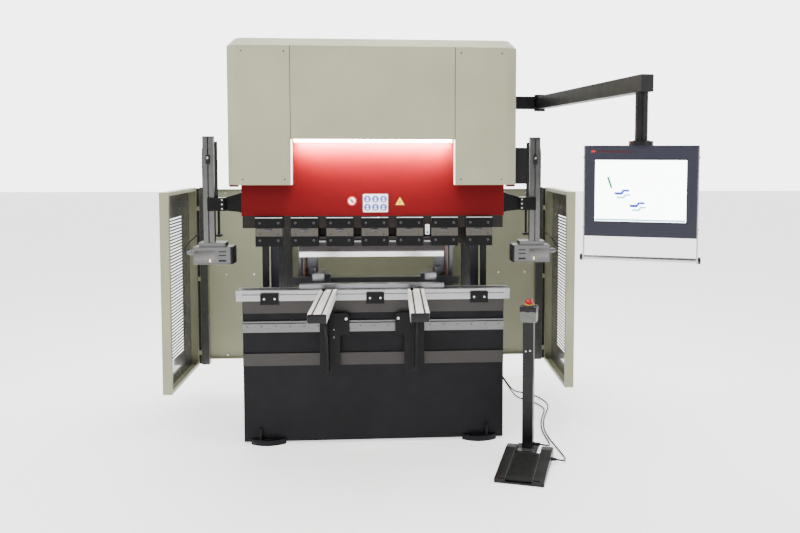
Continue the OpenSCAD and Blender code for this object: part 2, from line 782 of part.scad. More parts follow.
// The gusset under a support arm and the carriage that runs on the rail;
// inner is 1 or -1 for the side on which the carriage plate reaches further
module arm_bracket(inner) {
    low = strip_low - 38;
    sweep = min(arm_low - low - 60, arm_len - 190);
    web = [-7, 7];
    // web with a hollow quarter-round edge
    difference() {
        block([web[0], plate_front - sweep - 60, low + 20], [web[1], plate_front - 8, arm_low - 8]);
        rod_x(web[0] - 1, web[1] + 1, plate_front - sweep - 60, low + 20, sweep);
        block([web[0] - 1, plate_front - sweep - 61, low + 19], [web[1] + 1, plate_front - sweep - 60, low + 20]);
    }
    block([-32, plate_front - sweep - 60, arm_low - 8], [32, plate_front - 8, arm_low]);
    block([-32, plate_front - 8, low], [32, plate_front, arm_low]);
    // carriage plate with cut corners
    along_y(plate_front, plate_back) polygon([
        [-inner * 48, strip_low - 18], [inner * 67, strip_low - 18], [inner * 67, rail_low - 12],
        [inner * 119, rail_low - 12], [inner * 119, rail_high + 38], [inner * 107, rail_high + 50],
        [-inner * 48, rail_high + 50]]);
    // carriage wrapped round the rail
    mid = (rail_low + rail_high) / 2;
    difference() {
        block([-45, plate_back, mid - 20], [45, bed_front - 12 - gap, mid + 32]);
        block([-46, rail_front - gap, mid - 8 - gap], [46, bed_front - 11, mid + 20 + gap]);
    }
}

module support_arm_left() color("#e4e5e6") at_bending_line() translate([-arm_left, 0, 0]) support_arm();
module support_arm_right() color("#e4e5e6") at_bending_line() translate([arm_right, 0, 0]) support_arm();
module arm_bracket_left() color("#15151a") at_bending_line() translate([-arm_left, 0, 0]) arm_bracket(1);
module arm_bracket_right() color("#15151a") at_bending_line() translate([arm_right, 0, 0]) arm_bracket(-1);

// ---- Back gauge ----

module gauge_rails() color("#7d7f80") at_bending_line() both_sides() {
    block([frame_in - 40, gauge_y, gauge_rail_z], [frame_in, frame_back - 50, gauge_rail_z + 60]);
    block([frame_in - 30, gauge_y, gauge_rail_z + 60], [frame_in - 10, frame_back - 50, gauge_rail_z + 75]);
}

module gauge_carriage() color("#8f9193") at_bending_line() {
    top = gauge_rail_z + 75;
    half = frame_in - 2;
    both_sides() {
        difference() {
            block([half - 36, 380, gauge_rail_z + 60 + gap], [half, 500, tower_low - 30]);
            block([frame_in - 30 - gap, 379, gauge_rail_z + 59], [frame_in - 10 + gap, 501, top + gap]);
        }
        block([tower_in, 430, tower_low], [tower_out, 450, tower_high]);
        block([tower_in + 2, 418, tower_low], [tower_in + 28, 430, tower_high]);
        for (z = [tower_low, tower_high - 30])
            block([screw_x - 28, screw_y - 26, z], [screw_x + 28, 430, z + 30]);
        rod_z(screw_x, screw_y, tower_low + 30, tower_high - 30, screw_r);
    }
    block([-half, 384, tower_low - 30], [half, 490, tower_low]);
}

module gauge_beam() color("#c7c8c8") at_bending_line() {
    block([-520, 325, beam_low], [520, 375, beam_high]);
    both_sides() {
        block([tower_in - 8, 375, beam_low - 20], [tower_in + 38, 418 - gap, beam_high + 55]);
        difference() {
            block([screw_x - 26, 375, beam_low], [screw_x + 26, 428, beam_high]);
            rod_z(screw_x, screw_y, beam_low - 1, beam_high + 1, screw_r + gap);
        }
    }
}

module finger(side) translate([side * finger_x, 0, 0]) {
    block([-52, 295, beam_high + gap], [52, 372, beam_high + 25]);
    block([-52, 295, beam_low + 5], [52, 325 - gap, beam_high + gap]);
    block([-16, 95, die_top + 9], [16, 340, die_top + 37]);
    block([-34, 62, die_top + 5], [34, 95, die_top + 49]);
    rod_z(side * 40, 318, beam_high + 25, beam_high + 48, 5);
    rod_z(side * 40, 318, beam_high + 48, beam_high + 62, 13);
}

module finger_left() color("#aab0bc") at_bending_line() finger(-1);
module finger_right() color("#aab0bc") at_bending_line() finger(1);

// ---- Foot control ----

// A side cheek of the foot control, rising towards the back
module cheek(u0, u1) along_x(u0, u1)
    polygon([[foot_front, 10], [wedge_back, 10], [wedge_back, 52], [wedge_back - 60, 56], [foot_front, 22]]);

module foot_base() color("#2a2b2e") at_foot() {
    half = foot_w / 2;
    block([-half, foot_front, 0], [half, wedge_back, 10]);
    block([post_u - post_w, wedge_back - 1, 0], [post_u + post_w, foot_back, 10]);
    difference() {
        union() {
            cheek(-half, 56 - half);
            cheek(half - 62, half);
        }
        rod_x(-half + 20, half - 20, heel_v, heel_z, 5);
    }
    rod_x(20 - half, half - 20, heel_v, heel_z, 5 - pin_gap);
}

module foot_pedal() color("#0f1012") at_foot() {
    left = 57 - foot_w / 2;
    right = foot_w / 2 - 63;
    mid = (left + right) / 2;
    r = (right - left) / 2;
    difference() {
        translate([0, heel_v, heel_z]) rotate([5, 0, 0]) {
            block([left, -9, -7], [right, 9, 6]);
            block([left, 0, -4], [right, 240, 6]);
            translate([mid, 240, -4]) cylinder(h = 10, r = r);
        }
        rod_x(left - 1, right + 1, heel_v, heel_z, 5 + pin_gap);
    }
}

module stop_post() color("#18191b") at_foot() difference() {
    h = post_w / 2;
    block([post_u - h, post_v - h, 10], [post_u + h, post_v + h, post_h]);
    block([post_u - h + 3, post_v - h + 3, 9], [post_u + h - 3, post_v + h - 3, post_h - 3]);
}

module stop_box() color("#9c9c98") at_foot() difference() {
    union() {
        block([post_u - box_half, post_v - box_half, post_h], [post_u + box_half, post_v + box_half, post_h + box_h]);
        rod_z(post_u, post_v, post_h + box_h, post_h + box_h + 10, 30);
    }
    rod_z(post_u, post_v, post_h + box_h - 30, post_h + box_h + 11, stem_r + pin_gap);
}

module stop_button() color("#c81414") at_foot() {
    seat = post_h + box_h + 10;
    rod_z(post_u, post_v, seat - 28, seat + button_gap, stem_r);
    rod_z(post_u, post_v, seat + button_gap, seat + button_gap + 12, 22);
    translate([post_u, post_v, seat + button_gap + 12]) cylinder(h = 8, r1 = 22, r2 = 14);
}

// ---- Cords and their glands ----

module gland(length, r) {
    cylinder(h = 8, r = r, $fn = 6);
    translate([0, 0, 8]) cylinder(h = length - 8, r = r - 2);
}

module cable_glands() color("#0d0d0f") at_bending_line() {
    block([frame_out, 700, 205], [frame_out + 6, 820, 285]);
    for (p = [pedal_route[0], stop_route[0]])
        translate([frame_out + 6, p.y, p.z]) rotate([0, 90, 0]) gland(p.x - frame_out - 6, 11);
    end_gland(pedal_route[len(pedal_route) - 1], foot_w / 2, 11);
    end_gland(stop_route[len(stop_route) - 1], post_u + post_w / 2, 11);
}

// How far a point lies across the foot control from its middle
function across_foot(p) = (p.x - foot_x) * cos(foot_yaw) + (p.y - foot_y) * sin(foot_yaw);

// A gland on the foot control, from a face across it to the given mouth
module end_gland(mouth, face, r) {
    length = across_foot(mouth) - face;
    translate(mouth) rotate([0, 0, foot_yaw]) translate([-length, 0, 0]) rotate([0, 90, 0]) gland(length, r);
}

module pedal_cable() color("#111113") at_bending_line() cord(smooth(pedal_route, 2), cord_r);
module stop_cable() color("#111113") at_bending_line() cord(smooth(stop_route, 3), cord_r);

side_frames();
bed_beam();
bed_plates();
die_rail();
die();
die_clamps();
arm_rail();
rear_beam();
foot_pads();
level_bolts();
hydraulic_unit();
cylinders();
ram_guides();
linear_scales();
hood_frame();
hood_sides();
hood_centre();
hood_top();
light_bar();
rear_cover();
junction_box();
cabinet();
cabinet_door();
guard_panels();
door_left();
door_right();
pendant_bracket();
pendant_arm();
pendant_post();
panel_case();
panel_screen();
panel_handle();
ram_plate();
clamp_bar();
holder_bodies();
holder_plates();
punch();
piston_rods();
laser_brackets();
laser_post_left();
laser_post_right();
laser_head_left();
laser_head_right();
support_arm_left();
arm_bracket_left();
support_arm_right();
arm_bracket_right();
gauge_rails();
gauge_carriage();
gauge_beam();
finger_left();
finger_right();
foot_base();
foot_pedal();
stop_post();
stop_box();
stop_button();
cable_glands();
pedal_cable();
stop_cable();
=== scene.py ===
# %% [markdown]
# # A compact press brake, dressed for the studio
# A press brake bends sheet metal: the red ram comes down and pushes a punch into a
# V-shaped die. The solid parts arrive ready-made, each in its place, so this lesson is
# about finishes, the small repeated parts, the lit window and the cables. Everything
# is in metres, Z is up, and the operator stands on the -Y side.

# %% Load the machine
from math import cos, pi, radians, sin, tau

import bmesh
import bpy
from mathutils import Matrix, Vector


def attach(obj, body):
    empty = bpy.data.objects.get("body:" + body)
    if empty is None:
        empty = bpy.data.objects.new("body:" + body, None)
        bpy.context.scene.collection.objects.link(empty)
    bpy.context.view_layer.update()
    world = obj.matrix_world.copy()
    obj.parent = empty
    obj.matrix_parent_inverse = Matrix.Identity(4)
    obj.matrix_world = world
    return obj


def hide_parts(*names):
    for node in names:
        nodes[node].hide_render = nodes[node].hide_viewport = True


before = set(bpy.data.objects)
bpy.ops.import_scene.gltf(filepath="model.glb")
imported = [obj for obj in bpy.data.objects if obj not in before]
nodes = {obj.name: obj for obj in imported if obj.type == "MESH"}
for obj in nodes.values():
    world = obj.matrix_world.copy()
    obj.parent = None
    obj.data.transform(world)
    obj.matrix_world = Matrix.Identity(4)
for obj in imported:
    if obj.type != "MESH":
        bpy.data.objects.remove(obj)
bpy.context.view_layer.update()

# %% [markdown]
# ## The camera
# A lens of 35 mm stands a little right of the middle, 1.67 m above the floor, and looks
# slightly down and to the right. A small shift keeps the upright edges upright, which
# tilting the camera further would not.

# %% Camera
bending_line = -0.465


def turned(axis, degrees):
    return Matrix.Rotation(radians(degrees), 4, axis)


lens = bpy.data.cameras.new("view")
lens.lens = 35.54
lens.sensor_width = 36
lens.shift_x = -0.059
lens.shift_y = -0.0784
lens.clip_end = 60
camera = bpy.data.objects.new("view", lens)
bpy.context.collection.objects.link(camera)
camera.matrix_world = (Matrix.Translation((0.1006, -4.5818 + bending_line, 1.6745))
    @ turned("Z", -4.03) @ turned("X", -3.63) @ turned("Y", -0.1) @ turned("X", 90))
bpy.context.scene.camera = camera
print("camera at", tuple(round(v, 3) for v in camera.location))

# %% [markdown]
# ## The two floor cables
# The foot control hangs on two round cables that leave the machine low on its right
# side and lie in a loose bend on the floor. A cable is a fixed length on one smooth
# line, so a curve with a round bevel is the natural way: the line keeps the length and
# the bevel gives the sheath. The points run from the gland on the machine to the gland
# on the foot control, and a Catmull-Rom curve rounds the way between them.

# %% Cable routes
# x, y and z of each point; y is counted from the bending line
pedal_route = [
    (0.690, 0.785, 0.245), (0.725, 0.785, 0.244), (0.765, 0.786, 0.232), (0.808, 0.790, 0.200),
    (0.850, 0.796, 0.150), (0.890, 0.803, 0.095), (0.925, 0.810, 0.045), (0.962, 0.816, 0.014),
    (1.002, 0.814, 0.006), (1.042, 0.788, 0.006), (1.078, 0.738, 0.006), (1.108, 0.676, 0.006),
    (1.128, 0.610, 0.006), (1.134, 0.540, 0.006), (1.124, 0.470, 0.006), (1.102, 0.398, 0.006),
    (1.076, 0.320, 0.006), (1.053, 0.240, 0.006), (1.035, 0.160, 0.006), (1.023, 0.080, 0.006),
    (1.018, 0.000, 0.006), (1.020, -0.080, 0.006), (1.026, -0.160, 0.006), (1.034, -0.240, 0.006),
    (1.042, -0.320, 0.006), (1.046, -0.375, 0.006), (1.044, -0.412, 0.008), (1.031, -0.444, 0.013),
    (1.001, -0.457, 0.021), (0.985, -0.455, 0.024)]
stop_route = [
    (0.690, 0.735, 0.245), (0.725, 0.735, 0.244), (0.765, 0.734, 0.232), (0.808, 0.730, 0.200),
    (0.850, 0.724, 0.150), (0.888, 0.716, 0.095), (0.922, 0.706, 0.045), (0.954, 0.690, 0.014),
    (0.988, 0.664, 0.006), (1.024, 0.624, 0.006), (1.056, 0.574, 0.006), (1.080, 0.516, 0.006),
    (1.092, 0.458, 0.006), (1.084, 0.396, 0.006), (1.060, 0.318, 0.006), (1.037, 0.238, 0.006),
    (1.019, 0.158, 0.006), (1.008, 0.080, 0.006), (1.003, 0.000, 0.006), (1.003, -0.070, 0.006),
    (1.005, -0.135, 0.006), (1.001, -0.193, 0.009), (0.988, -0.226, 0.015), (0.954, -0.243, 0.026),
    (0.938, -0.239, 0.028)]


def smooth_line(route, steps):
    points = [Vector(p) + Vector((0, bending_line, 0)) for p in route]
    line = []
    for i in range(len(points) - 1):
        a, b = points[max(i - 1, 0)], points[i]
        c, d = points[i + 1], points[min(i + 2, len(points) - 1)]
        for s in range(steps):
            t = s / steps
            line.append(0.5 * (2 * b + (c - a) * t + (2 * a - 5 * b + 4 * c - d) * t ** 2
                + (3 * b - a - 3 * c + d) * t ** 3))
    return line + [points[-1]]


print("routes have", len(pedal_route), "and", len(stop_route), "points")

# %% [markdown]
# ## Laying the cables
# The bevel of the curve is 1 m, and the radius of every point scales it down to the
# sheath, so the curve's own box stays as small as the cable.

# %% Cables
def lay_cable(name, line, radius):
    curve = bpy.data.curves.new(name, "CURVE")
    curve.dimensions = "3D"
    curve.bevel_depth = 1
    curve.bevel_resolution = 3
    curve.use_fill_caps = True
    spline = curve.splines.new("POLY")
    spline.points.add(len(line) - 1)
    for point, place in zip(spline.points, line):
        point.co = (*place, 1)
        point.radius = radius
    spline.use_smooth = True
    cable = bpy.data.objects.new(name, curve)
    bpy.context.collection.objects.link(cable)
    return cable


sheath_radius = 0.0045
floor_cables = []
for name, route in (("pedal_cable", pedal_route), ("stop_cable", stop_route)):
    line = smooth_line(route, 4)
    cable = lay_cable(name + "_sheath", line, sheath_radius)
    floor_cables.append(cable)
    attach(cable, "root")
    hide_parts(name)

# %% [markdown]
# ## Tools for finishes
# Each finish is one Principled shader. What makes it look real is a little unevenness:
# colour that varies by a few per cent, roughness that follows handling and oil, and a
# bump far too small to model. All patterns read Object coordinates, which are metres
# in the machine's own frame, so a grain of 2 mm is 2 mm on every part.

# %% Node helpers
def blank(name, **constants):
    material = bpy.data.materials.new(name)
    material.use_nodes = True
    tree = material.node_tree
    tree.nodes.clear()
    output = tree.nodes.new("ShaderNodeOutputMaterial")
    shader = tree.nodes.new("ShaderNodeBsdfPrincipled")
    tree.links.new(shader.outputs[0], output.inputs[0])
    for socket, value in constants.items():
        shader.inputs[socket.replace("_", " ")].default_value = value
    return material, tree, shader


def place_pattern(tree, stretch):
    coordinates = tree.nodes.new("ShaderNodeTexCoord")
    mapping = tree.nodes.new("ShaderNodeMapping")
    mapping.inputs["Scale"].default_value = stretch
    tree.links.new(coordinates.outputs["Object"], mapping.inputs["Vector"])
    return mapping.outputs[0]


def grain(tree, size, detail=3, stretch=(1, 1, 1)):
    noise = tree.nodes.new("ShaderNodeTexNoise")
    noise.inputs["Scale"].default_value = 1 / size
    noise.inputs["Detail"].default_value = detail
    tree.links.new(place_pattern(tree, stretch), noise.inputs["Vector"])
    return noise.outputs["Fac"]


print("patterns ready: grain")

# %% [markdown]
# ### From a pattern to a finish
# A pattern is a number between 0 and 1 at each place. Three helpers use it: `spread`
# turns it into another range, such as a roughness, `tint` turns it into a colour between
# a dark and a light one, and `relief` turns it into tiny heights.

# %% Range, tint and relief
def spread(tree, value, low, high, start=0.3, end=0.7):
    steps = tree.nodes.new("ShaderNodeMapRange")
    steps.inputs["From Min"].default_value = start
    steps.inputs["From Max"].default_value = end
    steps.inputs["To Min"].default_value = low
    steps.inputs["To Max"].default_value = high
    tree.links.new(value, steps.inputs["Value"])
    return steps.outputs["Result"]


def tint(tree, shader, value, dark, light, start=0.3, end=0.7):
    colours = tree.nodes.new("ShaderNodeValToRGB")
    colours.color_ramp.elements[0].position = start
    colours.color_ramp.elements[1].position = end
    colours.color_ramp.elements[0].color = (*dark, 1)
    colours.color_ramp.elements[1].color = (*light, 1)
    tree.links.new(value, colours.inputs["Fac"])
    tree.links.new(colours.outputs["Color"], shader.inputs["Base Color"])
    return colours


def relief(tree, shader, value, depth, strength=1.0):
    bump = tree.nodes.new("ShaderNodeBump")
    bump.inputs["Distance"].default_value = depth
    bump.inputs["Strength"].default_value = strength
    tree.links.new(value, bump.inputs["Height"])
    tree.links.new(bump.outputs["Normal"], shader.inputs["Normal"])


def shade(colour, amount):
    return tuple(min(1, c * amount) for c in colour)


print("finish helpers ready: spread, tint, relief and shade")

# %% [markdown]
# ## Painted steel
# The covers are powder-coated. Powder melts into a skin with a faint orange-peel
# texture, 2 to 3 mm across, and large panels drift slightly in tone. The same recipe
# with darker colours gives the anthracite frame and the black parts, and a darker,
# glossier copy paints the shade on the inward faces of the slotted doors.

# %% Powder coat
def powder_coat(name, colour, roughness=0.45, drift=0.06, coat=0.0, shine=0.3):
    material, tree, shader = blank(name, Roughness=roughness, Coat_Weight=coat, Specular_IOR_Level=shine)
    peel = 0.0025
    cloud = grain(tree, 0.35, 2)
    tint(tree, shader, cloud, shade(colour, 1 - drift), shade(colour, 1 + drift))
    handled = grain(tree, 0.06, 4)
    tree.links.new(spread(tree, handled, roughness - 0.06, roughness + 0.08), shader.inputs["Roughness"])
    relief(tree, shader, grain(tree, peel, 1), 0.00006, 0.6)
    return material


hood_paint = powder_coat("hood paint", (0.34, 0.343, 0.225), 0.45)
door_inside_shade = powder_coat("door inside shade", (0.085, 0.083, 0.086), 0.3, coat=1.0)
frame_paint = powder_coat("anthracite paint", (0.006, 0.006, 0.0078), 0.5, drift=0.15, shine=0.16)
frame_edge_paint = powder_coat("frame blue-grey", (0.03, 0.031, 0.042), 0.45, drift=0.1, shine=0.2)
ram_paint = powder_coat("ram red", (0.11, 0.0004, 0.0018), 0.5, shine=0.12)
trim_paint = powder_coat("trim red", (0.09, 0.004, 0.006), 0.4)
case_paint = powder_coat("panel blue-grey", (0.028, 0.028, 0.042), 0.42, shine=0.2)
foot_paint = powder_coat("foot enamel", (0.006, 0.006, 0.0068), 0.35, drift=0.2, shine=0.25)
sign_white = powder_coat("sign white", (0.85, 0.85, 0.85), 0.35)
sign_blue = powder_coat("sign blue", (0.02, 0.09, 0.5), 0.35)
sign_yellow = powder_coat("sign yellow", (0.85, 0.5, 0.01), 0.35)
sign_red = powder_coat("sign red", (0.6, 0.01, 0.01), 0.35)
sign_black = powder_coat("sign black", (0.01, 0.01, 0.01), 0.35)
print(len(bpy.data.materials), "finishes so far")

# %% [markdown]
# ## Bare and blackened steel
# Ground and milled steel shows fine parallel scratches along its length. Stretching the
# noise along one axis turns round grains into such scratches. Black oxide is a dark,
# oily version, paler where it has been rubbed.

# %% Metals
def machined(name, colour, roughness, along="X", mark=0.0009, depth=0.00003, metallic=0.9, drift=0.12):
    stretch = [1.0, 1.0, 1.0]
    stretch["XYZ".index(along)] = 0.02
    material, tree, shader = blank(name, Metallic=metallic, Specular_IOR_Level=0.2)
    scratches = grain(tree, mark, 4, stretch)
    stains = grain(tree, 0.12, 4)
    mixed = tree.nodes.new("ShaderNodeMath")
    mixed.operation = "MULTIPLY_ADD"
    mixed.inputs[1].default_value = 0.5
    half = spread(tree, scratches, 0.0, 0.5)
    tree.links.new(stains, mixed.inputs[0])
    tree.links.new(half, mixed.inputs[2])
    tint(tree, shader, mixed.outputs[0], shade(colour, 1 - drift), shade(colour, 1 + drift), 0.2, 0.8)
    tree.links.new(spread(tree, mixed.outputs[0], roughness - 0.07, roughness + 0.1, 0.2, 0.8),
        shader.inputs["Roughness"])
    relief(tree, shader, scratches, depth, 0.5)
    return material


ground_steel = machined("ground steel", (0.36, 0.36, 0.37), 0.3)
rail_steel = machined("drawn bar", (0.15, 0.15, 0.15), 0.3, "X")
tool_steel = machined("tool steel", (0.24, 0.235, 0.25), 0.28)
dull_steel = machined("blued plate", (0.05, 0.047, 0.045), 0.4, metallic=0.5)
dark_bar = machined("dark clamp bar", (0.022, 0.018, 0.017), 0.4, metallic=0.5)
olive_steel = machined("holder steel", (0.105, 0.098, 0.085), 0.36, "Z")
black_oxide = machined("black oxide", (0.006, 0.006, 0.0065), 0.32, metallic=0.4, drift=0.3)
anodised = machined("clear anodised", (0.15, 0.148, 0.143), 0.3, "Z", depth=0.00002)
arm_anodised_and_highlight = machined("arm anodised", (0.88, 0.89, 0.9), 0.45, "Y", depth=0.00002, metallic=0.35)
milled = machined("milled aluminium", (0.2, 0.205, 0.22), 0.34, "X")
laser_metal = machined("blasted aluminium", (0.155, 0.155, 0.155), 0.42, "X", depth=0.00001)
chrome = machined("hard chrome", (0.7, 0.71, 0.73), 0.12, "Z", depth=0.00001, drift=0.04)
stainless = machined("stainless tube", (0.5, 0.5, 0.5), 0.2, "X", depth=0.00001)


print(len(bpy.data.materials), "finishes so far")

# %% [markdown]
# ### The punch and the ball screws
# The punch is black on its body and ground bright at its working edge, so its colour
# follows the height above the floor, with a little noise that frays the border. The
# ball screws are coloured a reddish brown.

# %% Punch steel and the ball screws' colour
def worn_to_bright(name, dark, bright, dark_from, bright_below):
    """A tool that is black on its body and ground bright at its working edge."""
    material, tree, shader = blank(name, Metallic=0.9)
    place = tree.nodes.new("ShaderNodeSeparateXYZ")
    tree.links.new(place_pattern(tree, (1, 1, 1)), place.inputs[0])
    smear = tree.nodes.new("ShaderNodeMath")
    smear.operation = "MULTIPLY_ADD"
    smear.inputs[1].default_value = 0.004
    tree.links.new(grain(tree, 0.01, 3, (0.2, 1, 1)), smear.inputs[0])
    tree.links.new(place.outputs["Z"], smear.inputs[2])
    edge = spread(tree, smear.outputs[0], 0, 1, bright_below, dark_from)
    tint(tree, shader, edge, bright, dark, 0.0, 1.0)
    scratches = grain(tree, 0.0009, 4, (0.02, 1, 1))
    tree.links.new(spread(tree, scratches, 0.2, 0.38), shader.inputs["Roughness"])
    relief(tree, shader, scratches, 0.00003, 0.5)
    return material


punch_steel = worn_to_bright("punch steel", (0.05, 0.045, 0.045), (0.75, 0.74, 0.76), 1.113, 1.105)
reddish_brown = machined("ball screw reddish brown", (0.42, 0.16, 0.06), 0.35, "Z", drift=0.2)
print(len(bpy.data.materials), "finishes so far")

# %% [markdown]
# ## Plastics, rubber and things that glow
# Moulded plastic is rougher than paint and has a finer, sharper grain. The light strip
# and the screen give off light, so they get an emission strength. A small glowing patch
# on each light-curtain head paints a lamp's reflection, and the inner edges of the window
# glow as painted light from the strip beside them.

# %% Plastics and lamps
def moulded(name, colour, roughness=0.5, texture=0.0008, depth=0.00005, coat=0.0):
    material, tree, shader = blank(name, Coat_Weight=coat, Specular_IOR_Level=0.25)
    tint(tree, shader, grain(tree, 0.03, 4), shade(colour, 0.88), shade(colour, 1.12))
    fine = grain(tree, texture, 2)
    tree.links.new(spread(tree, fine, roughness - 0.05, roughness + 0.08), shader.inputs["Roughness"])
    relief(tree, shader, fine, depth, 0.5)
    return material


def lamp(name, colour, strength, flicker=0.04):
    material, tree, shader = blank(name, Roughness=0.25, Emission_Strength=strength)
    ramp = tint(tree, shader, grain(tree, 0.2, 1), shade(colour, 1 - flicker), colour)
    tree.links.new(ramp.outputs["Color"], shader.inputs["Emission Color"])
    return material


black_plastic = moulded("black plastic", (0.006, 0.006, 0.0065), 0.42)
pedal_plastic = moulded("pedal plastic", (0.0022, 0.0022, 0.0026), 0.42, 0.0015, 0.0001)
gap_rubber_and_shade = moulded("gap rubber and shade", (0.018, 0.018, 0.017), 0.6)
post_painted_shade = moulded("post painted shade", (0.062, 0.062, 0.058), 0.6)
cable_rubber = moulded("cable sheath", (0.006, 0.006, 0.0065), 0.45, 0.002, 0.00008)
box_grey = moulded("box grey", (0.125, 0.133, 0.12), 0.4)
button_red = moulded("button red", (0.42, 0.006, 0.005), 0.3)
ring_yellow = moulded("ring yellow", (0.7, 0.36, 0.02), 0.35)
strip_light = lamp("light strip", (1.0, 0.84, 0.6), 60)
screen_light = lamp("screen glow", (0.93, 0.97, 1.0), 9.0, 0.02)
screen_green = lamp("screen green", (0.01, 0.25, 0.08), 0.7)
screen_blue = lamp("screen blue", (0.01, 0.03, 0.6), 0.9)
screen_cyan = lamp("screen cyan", (0.2, 0.7, 0.95), 1.6)
head_glint_glow = lamp("head glint glow", (1.0, 0.75, 0.35), 1.5)
window_edge_glow = lamp("window edge glow", (1.0, 0.93, 0.9), 3.5)
print(len(bpy.data.materials), "finishes in all")

# %% [markdown]
# ## Dressing the ready-made parts
# One table says which parts wear which finish, so a finish is changed in one place. A
# ready-made part keeps its shape and its place, and only its material is set.

# %% Finishes of the parts
finishes = {
    frame_paint: "bed_beam rear_beam foot_pads hydraulic_unit cylinders",
    frame_edge_paint: "side_frames",
    dull_steel: "bed_plates hood_frame",
    dark_bar: "clamp_bar",
    ground_steel: "die_rail ram_guides gauge_rails",
    rail_steel: "arm_rail",
    tool_steel: "die",
    punch_steel: "punch",
    olive_steel: "holder_bodies",
    black_oxide: "die_clamps level_bolts holder_plates laser_brackets arm_bracket_left arm_bracket_right",
    hood_paint: "hood_sides hood_centre hood_top rear_cover cabinet cabinet_door guard_panels"
        " door_left door_right",
    strip_light: "light_bar",
    black_plastic: "junction_box linear_scales cable_glands",
    case_paint: "panel_case",
    foot_paint: "pendant_bracket pendant_arm pendant_post foot_base stop_post",
    screen_light: "panel_screen",
    stainless: "panel_handle",
    ram_paint: "ram_plate",
    chrome: "piston_rods",
    anodised: "laser_post_left laser_post_right",
    laser_metal: "laser_head_left laser_head_right",
    arm_anodised_and_highlight: "support_arm_left support_arm_right",
    milled: "gauge_carriage gauge_beam finger_left finger_right",
    pedal_plastic: "foot_pedal",
    box_grey: "stop_box",
    button_red: "stop_button",
    cable_rubber: "pedal_cable stop_cable",
}
for finish, names in finishes.items():
    for name in names.split():
        part = nodes[name].data
        part.materials.clear()
        part.materials.append(finish)
for cable in floor_cables:
    cable.data.materials.append(cable_rubber)
print("finishes on", sum(len(n.split()) for n in finishes.values()), "parts")

# %% [markdown]
# ## Tools for small parts
# Three makers cover nearly all the loose details. `plate` cuts a flat piece from an
# outline and softens its edges. `turned_part` spins a profile, as a lathe would, for
# knobs, rings and connectors. `finished` writes the place into the mesh, so that every
# object stays at the origin and its pattern stays with it.

# %% Finished piece
def finished(name, shape, material, body, smooth=True, where=None):
    if where is not None:
        shape.transform(where)
    bmesh.ops.recalc_face_normals(shape, faces=shape.faces)
    mesh = bpy.data.meshes.new(name)
    shape.to_mesh(mesh)
    shape.free()
    mesh.materials.append(material)
    piece = bpy.data.objects.new(name, mesh)
    bpy.context.collection.objects.link(piece)
    if smooth:
        mesh.shade_smooth()
        mesh.set_sharp_from_angle(angle=radians(32))
    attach(piece, body)
    return piece


print("maker ready: finished")

# %% [markdown]
# ### Plates
# An outline is copied up to its height and walls close the sides. A small bevel then
# rounds every edge. `rectangle` and `circle` give the commonest outlines, and a
# rectangle may have its corners cut.

# %% Plates
def solid_from(shape, outline, height):
    """Adds the outline, in x and y, to a shape as a solid from z = 0 up to height."""
    low = [shape.verts.new((x, y, 0)) for x, y in outline]
    high = [shape.verts.new((x, y, height)) for x, y in outline]
    shape.faces.new(list(reversed(low)))
    shape.faces.new(high)
    for i in range(len(low)):
        j = (i + 1) % len(low)
        shape.faces.new((low[i], low[j], high[j], high[i]))


def plate(name, outline, height, material, body, where, edge=0.0006):
    shape = bmesh.new()
    solid_from(shape, outline, height)
    if edge:
        bmesh.ops.bevel(shape, geom=list(shape.edges), offset=edge, segments=2, affect="EDGES", profile=0.7)
    return finished(name, shape, material, body, True, where)


def rectangle(width, height, cut=0.0):
    w, h = width / 2, height / 2
    if not cut:
        return [(-w, -h), (w, -h), (w, h), (-w, h)]
    return [(cut - w, -h), (w - cut, -h), (w, cut - h), (w, h - cut),
        (w - cut, h), (cut - w, h), (-w, h - cut), (-w, cut - h)]


def circle(radius, count=32):
    return [(radius * cos(tau * i / count), radius * sin(tau * i / count)) for i in range(count)]


print("maker ready: plate")

# %% [markdown]
# ### Turned parts and their places
# A profile is a list of radii and heights. Each becomes a ring of points, and faces join
# one ring to the next. Three more helpers give the direction in which a piece faces.

# %% Turned parts
def turned_part(name, profile, material, body, where, count=32):
    """Spins (radius, height) pairs round z; the profile starts and ends on the axis."""
    shape = bmesh.new()
    rings = []
    for radius, height in profile:
        if radius == 0:
            rings.append([shape.verts.new((0, 0, height))])
        else:
            rings.append([shape.verts.new((x, y, height)) for x, y in circle(radius, count)])
    for low, high in zip(rings, rings[1:]):
        for i in range(count):
            j = (i + 1) % count
            corners = [low[i % len(low)], low[j % len(low)], high[j % len(high)], high[i % len(high)]]
            shape.faces.new(list(dict.fromkeys(corners)))
    return finished(name, shape, material, body, True, where)


def facing_front(x, y, z):
    """A frame whose z axis points at the operator; y is counted from the bending line."""
    return Matrix.Translation((x, y + bending_line, z)) @ turned("X", 90)


def standing(x, y, z):
    return Matrix.Translation((x, y + bending_line, z))


def facing_side(x, y, z, side):
    return Matrix.Translation((x, y + bending_line, z)) @ turned("Y", 90 * side)


print("maker ready: turned_part")

# %% [markdown]
# ## Repeats grown by Geometry Nodes
# Screws, slots, ribs and graduation marks are one small shape many times over. A node
# tree builds the shape once, puts it on points and makes the copies real, so a size is
# changed in one place.

